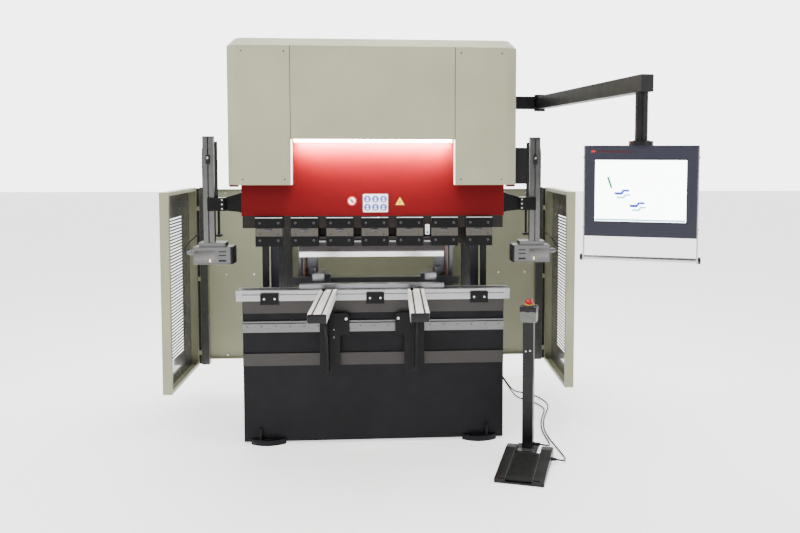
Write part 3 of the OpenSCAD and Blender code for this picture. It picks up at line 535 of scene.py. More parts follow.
# %% Tree helpers
def new_tree(name, **sizes):
    tree = bpy.data.node_groups.new(name, "GeometryNodeTree")
    tree.interface.new_socket("Geometry", in_out="INPUT", socket_type="NodeSocketGeometry")
    for label, value in sizes.items():
        kind = "NodeSocketInt" if isinstance(value, int) else "NodeSocketFloat"
        if isinstance(value, tuple):
            kind = "NodeSocketVector"
        socket = tree.interface.new_socket(label, in_out="INPUT", socket_type=kind)
        socket.default_value = value
    tree.interface.new_socket("Finish", in_out="INPUT", socket_type="NodeSocketMaterial")
    tree.interface.new_socket("Geometry", in_out="OUTPUT", socket_type="NodeSocketGeometry")
    return tree, tree.nodes.new("NodeGroupInput").outputs


def add(tree, kind, settings=None, **inputs):
    node = tree.nodes.new(kind)
    for key, value in (settings or {}).items():
        setattr(node, key, value)
    for key, value in inputs.items():
        socket = node.inputs[key.replace("_", " ")]
        if isinstance(value, bpy.types.NodeSocket):
            tree.links.new(value, socket)
        else:
            socket.default_value = value
    return node.outputs


def times(tree, a, b):
    node = tree.nodes.new("ShaderNodeMath")
    node.operation = "MULTIPLY"
    for socket, value in zip(node.inputs, (a, b)):
        if isinstance(value, bpy.types.NodeSocket):
            tree.links.new(value, socket)
        else:
            socket.default_value = value
    return node.outputs[0]


print("tree helpers ready: new_tree, add and times")

# %% [markdown]
# ### Closing and growing a tree
# A tree ends by making its copies real and giving them their finish. `grown` sets its
# sizes on a modifier, keeps the result as a plain mesh and takes the modifier away.

# %% Grow
def close_tree(tree, given, shape):
    real = add(tree, "GeometryNodeRealizeInstances", Geometry=shape)
    dressed = add(tree, "GeometryNodeSetMaterial", Geometry=real[0], Material=given["Finish"])
    tree.links.new(dressed[0], tree.nodes.new("NodeGroupOutput").inputs[0])


def grown(name, start, tree, finish, body, slot, **sizes):
    seed = bpy.data.objects.new(name, start)
    bpy.context.collection.objects.link(seed)
    modifier = seed.modifiers.new("grow", "NODES")
    modifier.node_group = tree
    sizes["Finish"] = finish
    for item in tree.interface.items_tree:
        if item.item_type == "SOCKET" and item.in_out == "INPUT" and item.name in sizes:
            modifier[item.identifier] = sizes[item.name]
    evaluated = seed.evaluated_get(bpy.context.evaluated_depsgraph_get())
    mesh = bpy.data.meshes.new_from_object(evaluated)
    seed.modifiers.remove(modifier)
    seed.data = mesh
    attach(seed, body)
    return seed


def points_mesh(name, places):
    mesh = bpy.data.meshes.new(name)
    mesh.from_pydata([(x, y + bending_line, z) for x, y, z in places], [], [])
    return mesh


print("grown and points_mesh ready")

# %% [markdown]
# ### Socket screws
# A cap screw is a short cylinder with a hexagonal recess. The tree cuts the recess with
# a boolean before the copies are made, so the cut is worked out only once.

# %% Screws
screw_tree, given = new_tree("cap screws", Radius=0.006, Height=0.004, Facing=(pi / 2, 0.0, 0.0))
lift = add(screw_tree, "ShaderNodeCombineXYZ", Z=times(screw_tree, given["Height"], 0.5))
head = add(screw_tree, "GeometryNodeMeshCylinder", Vertices=20, Radius=given["Radius"],
    Depth=given["Height"])
hexagon = add(screw_tree, "GeometryNodeMeshCylinder", Vertices=6,
    Radius=times(screw_tree, given["Radius"], 0.55), Depth=times(screw_tree, given["Height"], 1.1))
raised = add(screw_tree, "GeometryNodeTransform", Geometry=hexagon[0], Translation=lift[0])
cut_head = add(screw_tree, "GeometryNodeMeshBoolean", {"operation": "DIFFERENCE"},
    Mesh_1=head[0], Mesh_2=raised[0])
placed_head = add(screw_tree, "GeometryNodeTransform", Geometry=cut_head[0], Translation=lift[0])
copies = add(screw_tree, "GeometryNodeInstanceOnPoints", Points=given["Geometry"], Instance=placed_head[0],
    Rotation=given["Facing"])
close_tree(screw_tree, given, copies[0])


def screws(name, places, radius, height, finish, body, slot, facing=(pi / 2, 0, 0)):
    piece = grown(name, points_mesh(name, places), screw_tree, finish, body, slot,
        Radius=radius, Height=height, Facing=facing)
    print(name, len(places), "screws", len(piece.data.polygons), "faces")
    return piece


# %% [markdown]
# ### Where the screws sit
# Seven punch holders hang under the ram at a pitch of 200 mm, each with four plate
# screws, a wedge screw and two pins. The other screws hold the die clamps, the arm
# carriages, the light-curtain brackets and the hood.

# %% Screws in place
holder_pitch, clamp_pitch = 0.2, 0.6
holder_x = [0.005 + holder_pitch * k for k in range(-3, 4)]
bright_screw = machined("zinc screw", (0.6, 0.6, 0.6), 0.28)
dark_screw = machined("black screw", (0.09, 0.09, 0.095), 0.28, metallic=0.9)
for level, y, z in (("upper", -0.050, 1.279), ("lower", -0.047, 1.179)):
    screws(level + "_plate_screws", [(x + s, y, z) for x in holder_x for s in (-0.052, 0.052)],
        0.0068, 0.006, dark_screw, "ram", "black_oxide")
screws("wedge_screws", [(x + 0.004, -0.043, 1.236) for x in holder_x],
    0.0078, 0.008, dark_screw, "ram", "black_oxide")
screws("pin_screws", [(x + s, -0.0465, 1.215) for x in holder_x for s in (-0.05, 0.05)],
    0.0042, 0.005, dark_screw, "ram", "black_oxide")
screws("die_clamp_screws", [(clamp_pitch * k + 0.005 + s, -0.069, 0.847) for k in (-1, 0, 1)
    for s in (-0.03, 0.03)], 0.006, 0.006, bright_screw, "root", "black_oxide")
screws("carriage_screws_left", [(-0.235, -0.104, z) for z in (0.630, 0.674)] + [(-0.16, -0.104, 0.735)],
    0.0075, 0.007, bright_screw, "arm_left", "black_oxide")
screws("carriage_screws_right", [(0.214, -0.104, z) for z in (0.624, 0.667)] + [(0.136, -0.104, 0.735)],
    0.0075, 0.007, bright_screw, "arm_right", "black_oxide")
screws("bracket_screws", [(s * 0.852, -0.066, z) for s in (-1, 1) for z in (1.362, 1.387, 1.412)],
    0.005, 0.004, bright_screw, "ram", "black_oxide")
screws("hood_screws", [(s * x, -0.150, z) for s in (-1, 1) for x in (0.72, 0.49) for z in (1.53, 2.235)],
    0.0045, 0.002, dark_screw, "root", "hood_paint")

# %% [markdown]
# ### The slotted doors
# Each side door has a column of 45 long slots that lets the cabinet air out. The door
# already exists as a plain pan, so the tree takes that pan and cuts a row of boxes out
# of it. The pan's loose triangles are merged first, because the cut needs a closed shape.

# %% Slots
slot_tree, given = new_tree("slots", Count=45, Pitch=0.0203, Length=0.28, Opening=0.0095,
    Start=(0.0, 0.0, 0.0))
step = add(slot_tree, "ShaderNodeCombineXYZ", Z=given["Pitch"])
line = add(slot_tree, "GeometryNodeMeshLine", Count=given["Count"], Start_Location=given["Start"],
    Offset=step[0])
size = add(slot_tree, "ShaderNodeCombineXYZ", X=0.02, Y=given["Length"], Z=given["Opening"])
cutter = add(slot_tree, "GeometryNodeMeshCube", Size=size[0])
row = add(slot_tree, "GeometryNodeInstanceOnPoints", Points=line[0], Instance=cutter[0])
real_row = add(slot_tree, "GeometryNodeRealizeInstances", Geometry=row[0])
cut_door = add(slot_tree, "GeometryNodeMeshBoolean", {"operation": "DIFFERENCE"},
    Mesh_1=given["Geometry"], Mesh_2=real_row[0])
close_tree(slot_tree, given, cut_door[0])
print("slot tree ready")

# %% [markdown]
# ### Two finishes on one door
# The outside of the door wears the hood's paint, and the sheet's inward face gets a darker copy as painted
# shade.
# Each face of the mesh carries the number of its material, and the direction and place
# of a face tell which one it gets.

# %% Cut the doors
for side, body, sheet_x in (("left", "side_door_left", -1.2935), ("right", "side_door_right", 1.2435)):
    shape = bmesh.new()
    shape.from_mesh(nodes["door_" + side].data)
    bmesh.ops.remove_doubles(shape, verts=shape.verts, dist=0.00001)
    pan = bpy.data.meshes.new("pan_" + side)
    shape.to_mesh(pan)
    shape.free()
    door = grown("slotted_door_" + side, pan, slot_tree, hood_paint, body, "hood_paint",
        Start=(sheet_x, 0.62 + bending_line, 0.362))
    door.data.materials.clear()
    door.data.materials.append(hood_paint)
    door.data.materials.append(door_inside_shade)
    inward = 1 if side == "left" else -1
    for face in door.data.polygons:
        # inside marks the inward faces that get the painted shade
        inside = face.normal.x * inward > 0.9 and abs(face.center.x) > abs(sheet_x) - 0.003
        face.material_index = int(inside)
    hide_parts("door_" + side)
    print("door", side, len(door.data.polygons), "faces")

# %% [markdown]
# ### Marks, ribs and fins
# A row of one small bar gives the scale on the die rail and the cooling fins of the
# pump motor. Only the step and the turn between bars differ. The front rail gets its
# row of flat screws here as well.

# %% Bars
bar_tree, given = new_tree("bars", Count=10, Step=(0.01, 0.0, 0.0), Bar=(0.001, 0.001, 0.01),
    Start=(0.0, 0.0, 0.0), Turn=0.0, Reach=0.0)
row = add(bar_tree, "GeometryNodeMeshLine", Count=given["Count"], Start_Location=given["Start"],
    Offset=given["Step"])
bar = add(bar_tree, "GeometryNodeMeshCube", Size=given["Bar"])
out = add(bar_tree, "ShaderNodeCombineXYZ", Z=given["Reach"])
shifted = add(bar_tree, "GeometryNodeTransform", Geometry=bar[0], Translation=out[0])
index = add(bar_tree, "GeometryNodeInputIndex")
turning = add(bar_tree, "ShaderNodeCombineXYZ", X=times(bar_tree, index[0], given["Turn"]))
bars = add(bar_tree, "GeometryNodeInstanceOnPoints", Points=row[0], Instance=shifted[0], Rotation=turning[0])
close_tree(bar_tree, given, bars[0])


def bars_along(name, start, step, bar, count, finish, body, slot, turn=0.0, reach=0.0):
    at = (start[0], start[1] + bending_line, start[2])
    return grown(name, bpy.data.meshes.new(name), bar_tree, finish, body, slot,
        Count=count, Step=step, Bar=bar, Start=at, Turn=turn, Reach=reach)


bars_along("scale_marks", (-0.775, -0.0602, 0.876), (0.01, 0, 0), (0.0012, 0.0006, 0.008), 34,
    black_plastic, "root", "ground_steel")
bars_along("scale_long_marks", (-0.775, -0.0602, 0.873), (0.05, 0, 0), (0.0014, 0.0007, 0.015), 7,
    black_plastic, "root", "ground_steel")
bars_along("motor_fins", (-0.03, 0.68, 2.145), (0, 0, 0), (0.22, 0.004, 0.016), 36,
    frame_paint, "root", "anthracite_paint", turn=tau / 36, reach=0.086)
rail_screw_pitch = 0.08
screws("rail_screws", [(-0.72 + rail_screw_pitch * k, -0.076, 0.690) for k in range(19)],
    0.0055, 0.0015, dark_screw, "root", "ground_steel")

# %% [markdown]
# ## Signs on the ram
# Three plain signs sit on the ram: a red ring, a white sheet with six blue discs and a
# yellow triangle. They stay free of lettering, because shapes alone tell what they are.

# %% Signs
ram_face = -0.042
ring_x, discs_x, discs_z, triangle_x = -0.126, 0.008, 1.391, 0.148


def on_ram(x, z):
    return facing_front(x, ram_face, z)


plate("sign_ring", circle(0.027), 0.0010, sign_red, "ram", on_ram(ring_x, 1.403), 0)
plate("sign_ring_field", circle(0.0205), 0.0014, sign_white, "ram", on_ram(ring_x, 1.403), 0)
plate("sign_ring_hand", rectangle(0.011, 0.024, 0.004), 0.0017, sign_black, "ram",
    on_ram(ring_x, 1.403) @ turned("Z", 30), 0)
plate("sign_ring_bar", rectangle(0.044, 0.005), 0.0020, sign_red, "ram",
    on_ram(ring_x, 1.403) @ turned("Z", -45), 0)
plate("sign_sheet", rectangle(0.142, 0.104, 0.004), 0.0010, sign_white, "ram",
    on_ram(discs_x, discs_z), 0)
for row in (0, 1):
    for column in (-1, 0, 1):
        x, z = discs_x + 0.046 * column, 1.414 - 0.047 * row
        name = f"sign_disc_{row}_{column + 1}"
        plate(name, circle(0.0195), 0.0014, sign_blue, "ram", on_ram(x, z), 0)
        plate(name + "_head", circle(0.0055, 20), 0.0018, sign_white, "ram",
            on_ram(x, z + 0.006), 0)
        plate(name + "_body", rectangle(0.016, 0.010, 0.003), 0.0018, sign_white, "ram",
            on_ram(x, z - 0.007), 0)
plate("sign_triangle_edge", [(-0.030, -0.022), (0.030, -0.022), (0.0, 0.030)], 0.0010, sign_black,
    "ram", on_ram(triangle_x, 1.400), 0)
plate("sign_triangle", [(-0.0255, -0.0195), (0.0255, -0.0195), (0.0, 0.0245)], 0.0014, sign_yellow,
    "ram", on_ram(triangle_x, 1.400), 0)
plate("sign_triangle_mark", rectangle(0.005, 0.020, 0.001), 0.0018, sign_black, "ram",
    on_ram(triangle_x, 1.396), 0)

print("three signs on the ram")

# %% [markdown]
# ## Edges of the hood
# Dark-red strips close the underside of the hood beside the ram. A thin lip runs down
# each side of the window, and a fine dark seam parts the centre panel from the sides.

# %% Strips, lips and seams
both_sides = ((-1, "left"), (1, "right"))
for side, name in both_sides:
    plate("hood_strip_" + name, rectangle(0.052, 0.012, 0.001), 0.012, trim_paint, "root",
        facing_front(side * 0.780, -0.081, 1.4925))
    plate("window_lip_" + name, rectangle(0.003, 0.254), 0.0012, hood_paint, "root",
        facing_front(side * 0.4585, -0.150, 1.626), 0)
    plate("hood_seam_" + name, rectangle(0.003, 0.514), 0.0004, dark_screw, "root",
        facing_front(side * 0.457, -0.1497, 2.010), 0)
print("hood has its strips, lips and seams")

# %% [markdown]
# ## Holders and clips
# Between the two black plates of each punch holder a dark plate paints the shade of the
# recess for its clamping wedge, and a bright strip paints the highlight along the top.
# Short safety bars, one white locking clip and a dark sheet behind the holders, painted
# shade for the gaps between them, complete the row. Bevelled plates catch the light on
# their edges, which is what makes small machined parts look solid.

# %% Holder details
plate_front = -0.056
between_holders = 0.105
for k, x in enumerate(holder_x):
    # a dark plate that paints the shade in the recess of each clamping wedge
    plate(f"wedge_{k}", rectangle(0.046, 0.015, 0.006), 0.0035, dark_screw, "ram",
        facing_front(x - 0.004, plate_front, 1.2395))
    # a bright strip that paints the highlight on each holder's top edge
    plate(f"top_highlight_{k}", rectangle(0.151, 0.003, 0.0008), 0.006, arm_anodised_and_highlight, "ram",
        facing_front(x, plate_front, 1.3095), 0.0003)
for k in (-2, -1, 0, 1):
    plate(f"safety_bar_{k + 2}", rectangle(0.038, 0.009, 0.002), 0.006, ground_steel, "ram",
        facing_front(between_holders + 0.2 * k, -0.038, 1.172))
# a dark sheet that paints the shade seen in the gaps between the holders
plate("gap_shade_sheet", rectangle(1.150, 0.098, 0.002), 0.004, dark_bar, "ram",
    facing_front(between_holders, 0.028, 1.199))
plate("lock_clip", rectangle(0.026, 0.060, 0.004), 0.010, sign_white, "ram",
    facing_front(0.306, -0.034, 1.238))
plate("lock_clip_pin", circle(0.006, 20), 0.004, dark_screw, "ram",
    facing_front(0.306, -0.044, 1.222))
print(len(holder_x), "holders dressed")

# %% [markdown]
# ## Light-curtain heads
# On each post hangs a small aluminium head with a black end cap, a lens that looks
# across the machine, three dark vents and a round plug on its outer end. The plug's nut
# and the lens are turned parts, and the rest are bevelled plates.

# %% Heads and plugs
head_x, head_front = 0.915, -0.060
lens_profile = [(0, 0), (0.021, 0), (0.021, 0.0025), (0.016, 0.003), (0.014, 0.001), (0, 0.0025)]
nut_profile = [(0, 0), (0.0145, 0), (0.0155, 0.002), (0.0155, 0.012), (0.0135, 0.014), (0.0135, 0.018),
    (0.015, 0.020), (0.015, 0.030), (0.011, 0.034), (0, 0.034)]
for side, name in both_sides:
    body = "laser_" + name
    inner = side * (head_x - 0.103)
    plate("head_cap_" + name, rectangle(0.1, 0.12, 0.006), 0.012, black_plastic, body,
        facing_side(inner, 0.0, 1.095, -side))
    turned_part("head_lens_" + name, lens_profile, case_paint, body,
        facing_side(inner - side * 0.012, -0.02, 1.105, -side))
    plate("head_face_" + name, rectangle(0.118, 0.052, 0.003), 0.0012, anodised, body,
        facing_front(side * 0.955, head_front, 1.098))
    for level, z in (("low", 1.048), ("high", 1.142)):
        plate(f"head_edge_{level}_{name}", rectangle(0.204, 0.004, 0.001), 0.003, anodised, body,
            facing_front(side * head_x, head_front, z), 0.0004)
    for k, z in enumerate((1.067, 1.097, 1.118)):
        plate(f"head_vent_{name}_{k}", rectangle(0.042, 0.010 if k == 0 else 0.006, 0.001), 0.0012,
            black_plastic, body, facing_front(side * 0.856, head_front, z), 0)
    # a small glowing patch that paints the reflection of a lamp on the head
    plate("head_glint_" + name, rectangle(0.008, 0.018, 0.002), 0.0022, head_glint_glow, body,
        facing_front(side * 0.925, head_front, 1.068), 0)
    turned_part("plug_nut_" + name, nut_profile, laser_metal, body,
        facing_side(side * 1.019, -0.010, 1.107, side))
    print("head", name, "has its cap, lens, vents, lamp and plug")

# %% [markdown]
# ## Posts, rods and clips
# A cap closes each post, and a black duct on the ram and a rod on the head stand beside
# it. They move with different bodies: the duct stays with the ram, while the rod and its
# clamp travel with the head.

# %% Posts and rods
post_x, rod_x = 0.930, 0.8895
for side, name in both_sides:
    body = "laser_" + name
    plate("post_cap_" + name, rectangle(0.062, 0.042, 0.004), 0.005, black_plastic, body,
        standing(side * post_x, -0.030, 1.765))
    plate("post_duct_" + name, rectangle(0.015, 0.020, 0.003), 0.315, black_plastic, "ram",
        standing(side * rod_x, -0.032, 1.4245))
    plate("head_rod_" + name, rectangle(0.013, 0.014, 0.002), 0.165, black_plastic, body,
        standing(side * rod_x, 0.0185, 1.195))
    plate("head_rod_clamp_" + name, rectangle(0.034, 0.040, 0.003), 0.012, black_plastic, body,
        standing(side * 0.887, 0.0055, 1.200))
    plate("post_foot_plate_" + name, rectangle(0.150, 0.104, 0.003), 0.004, anodised, body,
        standing(side * head_x, -0.002, 1.1655))
    plate("cable_clip_" + name, rectangle(0.020, 0.052, 0.003), 0.010, black_plastic, body,
        facing_front(side * post_x, -0.050, 1.640))
    plate("cable_clip_pin_" + name, rectangle(0.010, 0.014, 0.002), 0.005, bright_screw, body,
        facing_front(side * post_x, -0.060, 1.650))
    print("post", name, "has its cap, duct, rod and clip")

# %% [markdown]
# ## The cables of the heads
# A thin cable leaves each plug, turns up and runs along the post under three ties. It is
# clipped down over its whole length, so it is drawn in place and travels with its head.

# %% Head cables and ties
tie_x = 0.9665
for side, name in both_sides:
    body = "laser_" + name
    feed = smooth_line([(side * 1.055, -0.010, 1.107), (side * 1.072, -0.008, 1.108),
        (side * 1.078, -0.004, 1.125), (side * 1.060, 0.000, 1.160), (side * 1.010, -0.010, 1.205),
        (side * tie_x, -0.022, 1.245), (side * tie_x, -0.026, 1.300), (side * tie_x, -0.026, 1.480),
        (side * tie_x, -0.026, 1.640), (side * tie_x - side * 0.002, -0.026, 1.700),
        (side * tie_x - side * 0.012, -0.026, 1.735), (side * 0.945, -0.026, 1.745)], 5)
    wire = lay_cable("head_cable_" + name, feed, 0.0032)
    wire.data.materials.append(cable_rubber)
    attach(wire, body)
    for k, z in enumerate((1.30, 1.46, 1.60)):
        plate(f"cable_tie_{name}_{k}", rectangle(0.010, 0.012, 0.002), 0.008, black_plastic, body,
            facing_front(side * tie_x, -0.018, z), 0.0004)
    print("head cable", name, "runs through", len(feed), "points")

# %% [markdown]
# ## Sheet supports
# The arms are slotted aluminium profiles. Black caps close their ends, black strips in
# their two slots paint the shade inside them, and a small stop sits on each arm near the die.

# %% Arm ends
for name, x in (("left", -0.262), ("right", 0.238)):
    plate("arm_cap_" + name, rectangle(0.092, 0.044, 0.003), 0.003, black_plastic, "arm_" + name,
        facing_front(x, -0.770, 0.8755))
    for k in (-1, 1):
        # black strips that paint the shade inside the two slots
        plate(f"arm_slot_shade_{name}_{(k + 1) // 2}", rectangle(0.0096, 0.685), 0.006, black_plastic,
            "arm_" + name, standing(x + k * 0.02325, -0.4245, 0.8905), 0)
    plate("arm_stop_" + name, rectangle(0.020, 0.030, 0.002), 0.010, black_oxide, "arm_" + name,
        standing(x - 0.0232, -0.100, 0.8982))
    print("arm", name, "has its cap, slot strips and stop")

# %% [markdown]
# ## Glowing window edges, shade strips by the doors and a groove
# The inner edges of the hood's window glow as painted light from the strip beside them.
# A grey strip paints the shade on the front of each rear post, a dark strip closes the gap
# to its door and paints the shade there, a plate backs each seam of the hood, and a dark
# groove runs along the front of the die rail.

# %% Window edge glow, shade strips by the doors and the rail groove
for side, name, reach in ((-1, "left", 1.240), (1, "right", 1.190)):
    # the window edges glow with painted light from the strip; they are not lamps
    plate("window_edge_" + name, rectangle(0.0035, 0.252), 0.030, window_edge_glow, "root",
        facing_front(side * 0.4550, -0.118, 1.626), 0)
    # the grey strip on the post front is painted shade; the dark strip closes the hinge gap and paints the
    # shade there
    plate("post_shade_strip_" + name, rectangle(0.050, 1.236, 0.002), 0.003, post_painted_shade, "root",
        facing_front(side * (reach - 0.043), 0.960, 0.819), 0)
    plate("door_gap_shade_seal_" + name, rectangle(0.034, 1.230, 0.002), 0.003, gap_rubber_and_shade, "root",
        facing_front(side * (reach + 0.001), 0.974, 0.819), 0)
    plate("seam_back_" + name, rectangle(0.030, 0.500), 0.002, hood_paint, "root",
        facing_front(side * 0.457, -0.145, 2.007), 0)
plate("rail_groove", rectangle(1.500, 0.0045), 0.0006, dark_screw, "root",
    facing_front(0, -0.060, 0.869), 0)
print("edges, seals, seam backs and groove made")

# %% [markdown]
# ## Control panel
# The screen glows a cold white and shows a bending job: a green stroke for the tool and
# two blue steps for the part. The shapes are thin plates on the glass, because a
# plate keeps its place when the panel turns.

# %% Screen
arm_length, arm_swing = 1.368, radians(8.4)
swing_x, swing_y = 1.0, 0.2
panel_place = Matrix.Translation((swing_x + arm_length * sin(arm_swing),
    swing_y - arm_length * cos(arm_swing) + bending_line, 0)) @ turned("Z", -19.5)
glass_y = -0.027
screen_width, screen_height, screen_low = 0.391, 0.272, 1.376


def on_panel(x, y, z):
    return panel_place @ Matrix.Translation((x, y, z))


def on_screen(across, down):
    """A place on the glass; across and down run from 0 to 1 over the screen."""
    x = (across - 0.5) * screen_width
    z = screen_low + screen_height * (1 - down)
    return on_panel(x, glass_y, z) @ turned("X", 90)


for level, down in (("low", 1.004), ("high", -0.004)):
    plate("screen_frame_" + level, rectangle(0.395, 0.003), 0.004, black_plastic, "panel",
        on_screen(0.5, down), 0)
plate("screen_bar_low", rectangle(0.386, 0.008), 0.0003, screen_cyan, "panel",
    on_screen(0.5, 0.975), 0)
plate("stroke_green", [(-0.008, 0.022), (0.002, 0.024), (0.018, -0.026), (0.010, -0.030)], 0.0006,
    screen_green, "panel", on_screen(0.15, 0.36), 0)
blue_step = [(-0.034, 0.002), (-0.004, 0.002), (0.004, 0.014), (0.030, 0.014), (0.034, 0.004),
    (0.010, 0.004), (0.000, -0.010), (-0.030, -0.010)]
cyan_step = [(-0.028, -0.010), (0.000, -0.010), (0.010, 0.002), (0.032, 0.002), (0.034, -0.006),
    (0.014, -0.006), (0.006, -0.018), (-0.026, -0.018)]
for k, (across, down) in enumerate(((0.30, 0.53), (0.47, 0.73))):
    plate(f"step_blue_{k}", blue_step, 0.0006, screen_blue, "panel",
        on_screen(across, down), 0)
    plate(f"step_cyan_{k}", cyan_step, 0.0005, screen_cyan, "panel",
        on_screen(across + 0.01, down + 0.03), 0)
print("screen is", screen_width, "by", screen_height, "m")

# %% [markdown]
# ## Panel case
# A red line and a small mark trim the top of the bezel. The tubular handle ends in two
# turned knobs, screws hold its side plates, and vents open the back of the case.

# %% Bezel, handle and case
case_front, case_back = -0.029, 0.029


def on_front(x, z):
    return on_panel(x, case_front, z) @ turned("X", 90)


plate("bezel_line", rectangle(0.150, 0.004), 0.0008, trim_paint, "panel",
    on_front(-0.115, 1.684), 0)
plate("bezel_mark", rectangle(0.020, 0.010, 0.003), 0.0010, sign_red, "panel",
    on_front(-0.205, 1.686), 0)
knob_profile = [(0, 0), (0.012, 0), (0.0155, 0.002), (0.0155, 0.010), (0.012, 0.013), (0, 0.013)]
dome_profile = [(0, 0), (0.007, 0), (0.0065, 0.003), (0.003, 0.0045), (0, 0.0045)]
bolt_profile = [(0, 0), (0.006, 0), (0.006, 0.004), (0.0035, 0.004), (0.003, 0.002), (0, 0.002)]
for side in (-1, 1):
    outwards = turned("Y", 90 * side)
    turned_part(f"handle_knob_{(side + 1) // 2}", knob_profile, black_plastic, "panel",
        on_panel(side * 0.2485, 0, 1.209) @ outwards)
    for z in (1.345, 1.660):
        turned_part(f"handle_bolt_{(side + 1) // 2}_{round(z * 1000)}", dome_profile, bright_screw,
            "panel", on_panel(side * 0.248, 0, z) @ outwards, 16)
for k in range(4):
    turned_part(f"flange_bolt_{k}", bolt_profile, bright_screw, "panel",
        panel_place @ turned("Z", 45 + 90 * k) @ Matrix.Translation((0.041, 0, 1.732)), 16)
for k in range(7):
    plate(f"case_vent_{k}", rectangle(0.120, 0.004, 0.0015), 0.0012, black_plastic, "panel",
        on_panel(0, case_back, 1.46 + 0.010 * k) @ turned("Z", 180) @ turned("X", 90), 0)
print("panel case has its trim, handle knobs, bolts and vents")

# %% [markdown]
# ## Stop box
# The stop box on top of the foot control's post has a black cover with a wavy lower
# edge, and a yellow ring round its red mushroom button. A ring is a profile that never
# touches the axis, so it has a maker of its own.

# %% Ring and cover
foot_place = Matrix.Translation((0.8045, -0.512 + bending_line, 0)) @ turned("Z", -18)
box_at = foot_place @ Matrix.Translation((-0.027, 0.301, 0))
cover_half, cover_top = 0.0465, 0.8195


def on_foot(x, y, z):
    return foot_place @ Matrix.Translation((x, y, z))


def on_box(x, y, z):
    return box_at @ Matrix.Translation((x, y, z))


def ring_part(name, inner, outer, height, material, body, where, count=40):
    shape = bmesh.new()
    profile = [(inner, 0), (outer, 0), (outer, height * 0.7), (outer - height * 0.3, height), (inner, height)]
    loops = [[shape.verts.new((x, y, z)) for x, y in circle(r, count)] for r, z in profile]
    for low, high in zip(loops, loops[1:] + loops[:1]):
        for i in range(count):
            j = (i + 1) % count
            shape.faces.new((low[i], low[j], high[j], high[i]))
    return finished(name, shape, material, body, True, where)


ring_part("stop_ring", 0.0125, 0.031, 0.0016, ring_yellow, "root", on_box(0, 0, 0.828))
wave = [(-cover_half, 0.790), (-cover_half, cover_top), (cover_half, cover_top), (cover_half, 0.790)]
wave += [(cover_half - 0.0093 * k, 0.7885 + 0.006 * sin(pi * k / 5) * (1 if k < 5 else -1))
    for k in range(1, 10)]
plate("stop_cover", wave, 0.093, black_plastic, "root",
    on_box(0, cover_half, 0) @ turned("X", 90), 0.0008)
print("stop cover has", len(wave), "corners")

# %% [markdown]
# ## Foot control
# A black treadle between two cheeks stands on the floor. Ribs on the treadle keep the
# shoe from slipping, the cheeks have bright worn edges, and a toe plate lies behind the
# treadle. Small turned screws hold the post and the stop box.

# %% Treadle, cheeks and screws
treadle = on_foot(0, -0.195, 0.024) @ turned("X", 5)
for k in range(12):
    half = 0.060 if k < 9 else 0.056
    plate(f"treadle_rib_{k}", rectangle(2 * half, 0.006, 0.002), 0.0016, pedal_plastic, "pedal",
        treadle @ Matrix.Translation((-0.003, 0.03 + 0.021 * k, 0.006)), 0)
for k, x in enumerate((-0.0740, 0.0680)):
    plate(f"cheek_edge_{k}", rectangle(0.0035, 0.362), 0.0012, anodised, "root",
        on_foot(x, -0.030, 0.0392) @ turned("X", 5.3), 0)
plate("toe_plate", rectangle(0.100, 0.052, 0.004), 0.0012, stainless, "root",
    on_foot(-0.027, 0.238, 0.010), 0)
post_screw = [(0, 0), (0.0055, 0), (0.005, 0.002), (0.002, 0.003), (0, 0.003)]
box_screw = [(0, 0), (0.0035, 0), (0.003, 0.0012), (0, 0.0016)]
for k, (dx, z) in enumerate(((-0.012, 0.566), (0.012, 0.570))):
    turned_part(f"post_screw_{k}", post_screw, bright_screw, "root",
        on_box(dx, -0.030, z) @ turned("X", 90), 16)
for k, (dx, dy) in enumerate(((-1, -1), (1, -1), (-1, 1), (1, 1))):
    turned_part(f"box_screw_{k}", box_screw, bright_screw, "root",
        on_box(0.036 * dx, 0.036 * dy, cover_top), 14)
print("foot control has its ribs, cheek edges, toe plate and screws")

# %% [markdown]
# ## Pump and pipes
# The oil unit on top of the machine feeds both cylinders. Steel pipes are bent from one
# length, so they are curves again, this time with wider bends. The filler cap and the
# filter bowl are turned parts.

# %% Pipes and oil unit
fork_x, port_x, port_z = -0.355, 0.615, 2.092
for side, name in both_sides:
    run = [(fork_x + 0.03 * side, 0.625, 2.075), (fork_x + 0.03 * side, 0.560, 2.075),
        (fork_x + 0.03 * side, 0.440, 2.085), (-0.34 + 0.10 * side, 0.340, 2.100),
        (-0.2 + 0.3 * side, 0.270, 2.105), (side * 0.45, 0.230, 2.105), (side * 0.57, 0.200, 2.100),
        (side * 0.612, 0.150, 2.095), (side * port_x, 0.100, port_z), (side * port_x, 0.060, port_z)]
    pipe = lay_cable("oil_pipe_" + name, smooth_line(run, 6), 0.008)
    pipe.data.materials.append(chrome)
    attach(pipe, "root")
    turned_part("pipe_nut_" + name, [(0, 0), (0.016, 0), (0.016, 0.018), (0.012, 0.022), (0, 0.022)],
        bright_screw, "root",
        Matrix.Translation((side * port_x, 0.0605 + bending_line, port_z)) @ turned("X", -90), 6)
cap_profile = [(0, 0), (0.030, 0), (0.030, 0.012), (0.036, 0.014), (0.036, 0.038), (0.030, 0.044), (0, 0.044)]
bowl_profile = [(0, 0), (0.045, 0), (0.045, 0.02), (0.040, 0.024), (0.040, 0.120), (0.028, 0.132), (0, 0.132)]
turned_part("filler_cap", cap_profile, black_plastic, "root",
    standing(0.42, 0.68, 2.040), 36)
turned_part("filter_bowl", bowl_profile, case_paint, "root",
    standing(-0.50, 0.68, 2.040), 36)
print("two pipes, their nuts, the filler cap and the filter bowl made")

# %% [markdown]
# ## Rear covers and cabinet
# Screws hold the rear cover and the guard panels. The cabinet door has a row of vents
# and a main switch, a red knob on a yellow plate.

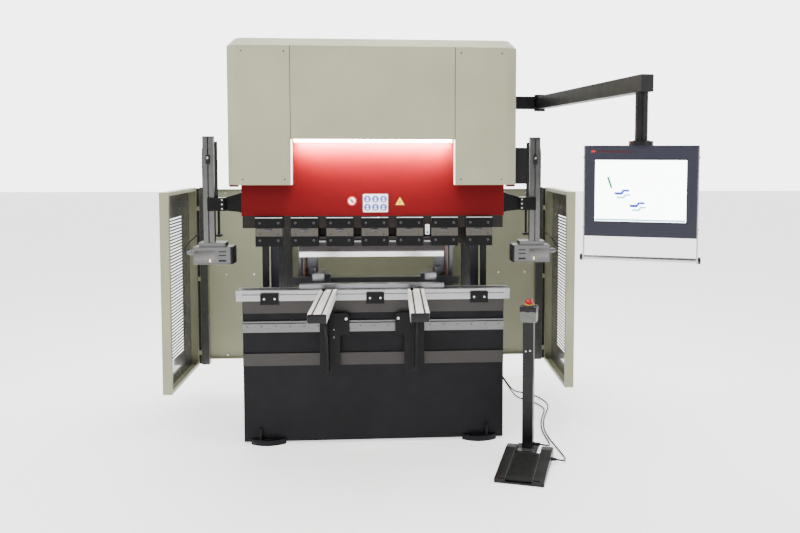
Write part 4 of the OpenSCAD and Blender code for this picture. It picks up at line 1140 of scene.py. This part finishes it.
# %% Cover screws, door vents and switch
door_face = 1.306 + bending_line
backwards = turned("Z", 180) @ turned("X", 90)
screws("cover_screws", [(s * (0.56 - 0.16 * k), 0.955, z) for s in (-1, 1) for k in range(4)
    for z in (0.73, 1.72)], 0.006, 0.003, bright_screw, "root", "hood_paint", (-pi / 2, 0, 0))
screws("panel_screws", [(s * x, 0.985, z) for s in (-1, 1) for x in (0.67, 0.86, 1.05)
    for z in (0.26, 0.83, 1.40)], 0.006, 0.003, bright_screw, "root", "hood_paint")
for k in range(14):
    plate(f"door_vent_{k}", rectangle(0.260, 0.006, 0.002), 0.0015, dark_screw, "rear_door",
        Matrix.Translation((0.830, door_face, 0.420 + 0.014 * k)) @ backwards, 0)
switch_at = Matrix.Translation((0.760, door_face, 1.130)) @ backwards
plate("switch_plate", rectangle(0.064, 0.064, 0.006), 0.002, ring_yellow, "rear_door", switch_at)
switch_profile = [(0, 0), (0.024, 0), (0.024, 0.006), (0.018, 0.009), (0.017, 0.018), (0, 0.019)]
turned_part("switch_knob", switch_profile, button_red, "rear_door",
    switch_at @ Matrix.Translation((0, 0, 0.002)))
print("cabinet door has its vents and switch")

# %% [markdown]
# ## The back gauge
# Two ball screws lift the stop beam. A thread is a helix, so the tree winds a spiral
# curve, gives it a round profile and copies it to both screws.

# %% Ball screws
thread_tree, given = new_tree("threads", Turns=40.0, Radius=0.0158, Height=0.43, Wire=0.0019)
spiral = add(thread_tree, "GeometryNodeCurveSpiral", Resolution=18, Rotations=given["Turns"],
    Start_Radius=given["Radius"], End_Radius=given["Radius"], Height=given["Height"])
wire = add(thread_tree, "GeometryNodeCurvePrimitiveCircle", Resolution=6, Radius=given["Wire"])
thread = add(thread_tree, "GeometryNodeCurveToMesh", Curve=spiral[0], Profile_Curve=wire[0], Fill_Caps=True)
threads = add(thread_tree, "GeometryNodeInstanceOnPoints", Points=given["Geometry"], Instance=thread[0])
close_tree(thread_tree, given, threads[0])
thread_places = points_mesh("thread_places", [(-0.450, 0.410, 0.805), (0.450, 0.410, 0.805)])
ball_threads = grown("screw_threads", thread_places, thread_tree, reddish_brown, "gauge", "gauge_metal")
for side, name in both_sides:
    plate("tower_strip_" + name, rectangle(0.018, 0.460, 0.001), 0.0012, reddish_brown, "gauge",
        facing_side(side * 0.370, 0.440, 1.010, -side) @ turned("Z", 90), 0)
    plate("stop_face_" + name, rectangle(0.066, 0.042, 0.002), 0.0010, ground_steel, "stop_" + name,
        facing_front(side * 0.330, 0.062, 0.948))
print("ball screws:", len(ball_threads.data.polygons), "faces")

# %% [markdown]
# ## The floor
# A pale floor carries the machine. It gives off a little light of its own, so that it
# stays pale right up to the machine.

# %% Floor
floor_shape = bmesh.new()
bmesh.ops.create_grid(floor_shape, x_segments=1, y_segments=1, size=30)
floor_finish, tree, shader = blank("studio floor", Roughness=0.7)
tint(tree, shader, grain(tree, 0.8, 2), (0.86, 0.86, 0.86), (0.9, 0.9, 0.9))
shader.inputs["Emission Color"].default_value = (1, 1, 1, 1)
shader.inputs["Emission Strength"].default_value = 1.1
floor_mesh = bpy.data.meshes.new("floor")
floor_shape.to_mesh(floor_mesh)
floor_shape.free()
floor_mesh.materials.append(floor_finish)
floor = bpy.data.objects.new("floor", floor_mesh)
bpy.context.collection.objects.link(floor)
print("floor laid")

# %% [markdown]
# ## The lamps
# A large soft key stands front left, a weaker fill front right, and a wide light hangs
# above. A faint one lights the throat. The narrow one just below the light strip
# carries the strip's glow onto the red plate.

# %% Lamps
def soft_light(name, where, towards, size, power, spread_angle=180):
    data = bpy.data.lights.new(name, "AREA")
    data.shape = "RECTANGLE"
    data.size, data.size_y = size
    data.energy = power
    data.spread = radians(spread_angle)
    light = bpy.data.objects.new(name, data)
    bpy.context.collection.objects.link(light)
    light.location = where
    light.rotation_euler = (Vector(towards) - Vector(where)).to_track_quat("-Z", "Y").to_euler()


soft_light("key", (-3.0, -5.5, 4.5), (0, 0, 1.2), (3, 2), 210)
soft_light("fill", (4.0, -4.5, 3.0), (0, 0, 1), (3, 3), 80)
soft_light("top", (0, 0.2, 5.2), (0, 0, 1), (4, 4), 420)
soft_light("inside", (0, -0.02, 1.62), (0, 0.42, 1.0), (0.9, 0.1), 5)
soft_light("window", (0, -0.085 + bending_line, 1.742), (0, -0.040 + bending_line, 1.700),
    (0.86, 0.02), 34, 110)
print(len(bpy.data.lights), "lamps placed")

# %% [markdown]
# ## The surroundings
# The surroundings are bright behind the machine and dim in front of it, so that dark
# steel stays dark while its outline stands clear. What the camera sees of them directly
# is one even, pale backdrop in every direction.

# %% Surroundings
backdrop_strength = 5.0
world = bpy.data.worlds.new("surroundings")
bpy.context.scene.world = world
world.use_nodes = True
sky = world.node_tree
direction = sky.nodes.new("ShaderNodeTexCoord")
parts = sky.nodes.new("ShaderNodeSeparateXYZ")
sky.links.new(direction.outputs["Generated"], parts.inputs[0])
brightness = spread(sky, parts.outputs["Y"], 0.12, 4.5, -0.1, 0.7)
seen = sky.nodes.new("ShaderNodeLightPath")
backdrop = sky.nodes.new("ShaderNodeMix")
backdrop.inputs["B"].default_value = backdrop_strength
sky.links.new(seen.outputs["Is Camera Ray"], backdrop.inputs["Factor"])
sky.links.new(brightness, backdrop.inputs["A"])
sky.links.new(backdrop.outputs["Result"], sky.nodes["Background"].inputs["Strength"])
sky.nodes["Background"].inputs["Color"].default_value = (1, 1, 1, 1)
print("surroundings set")
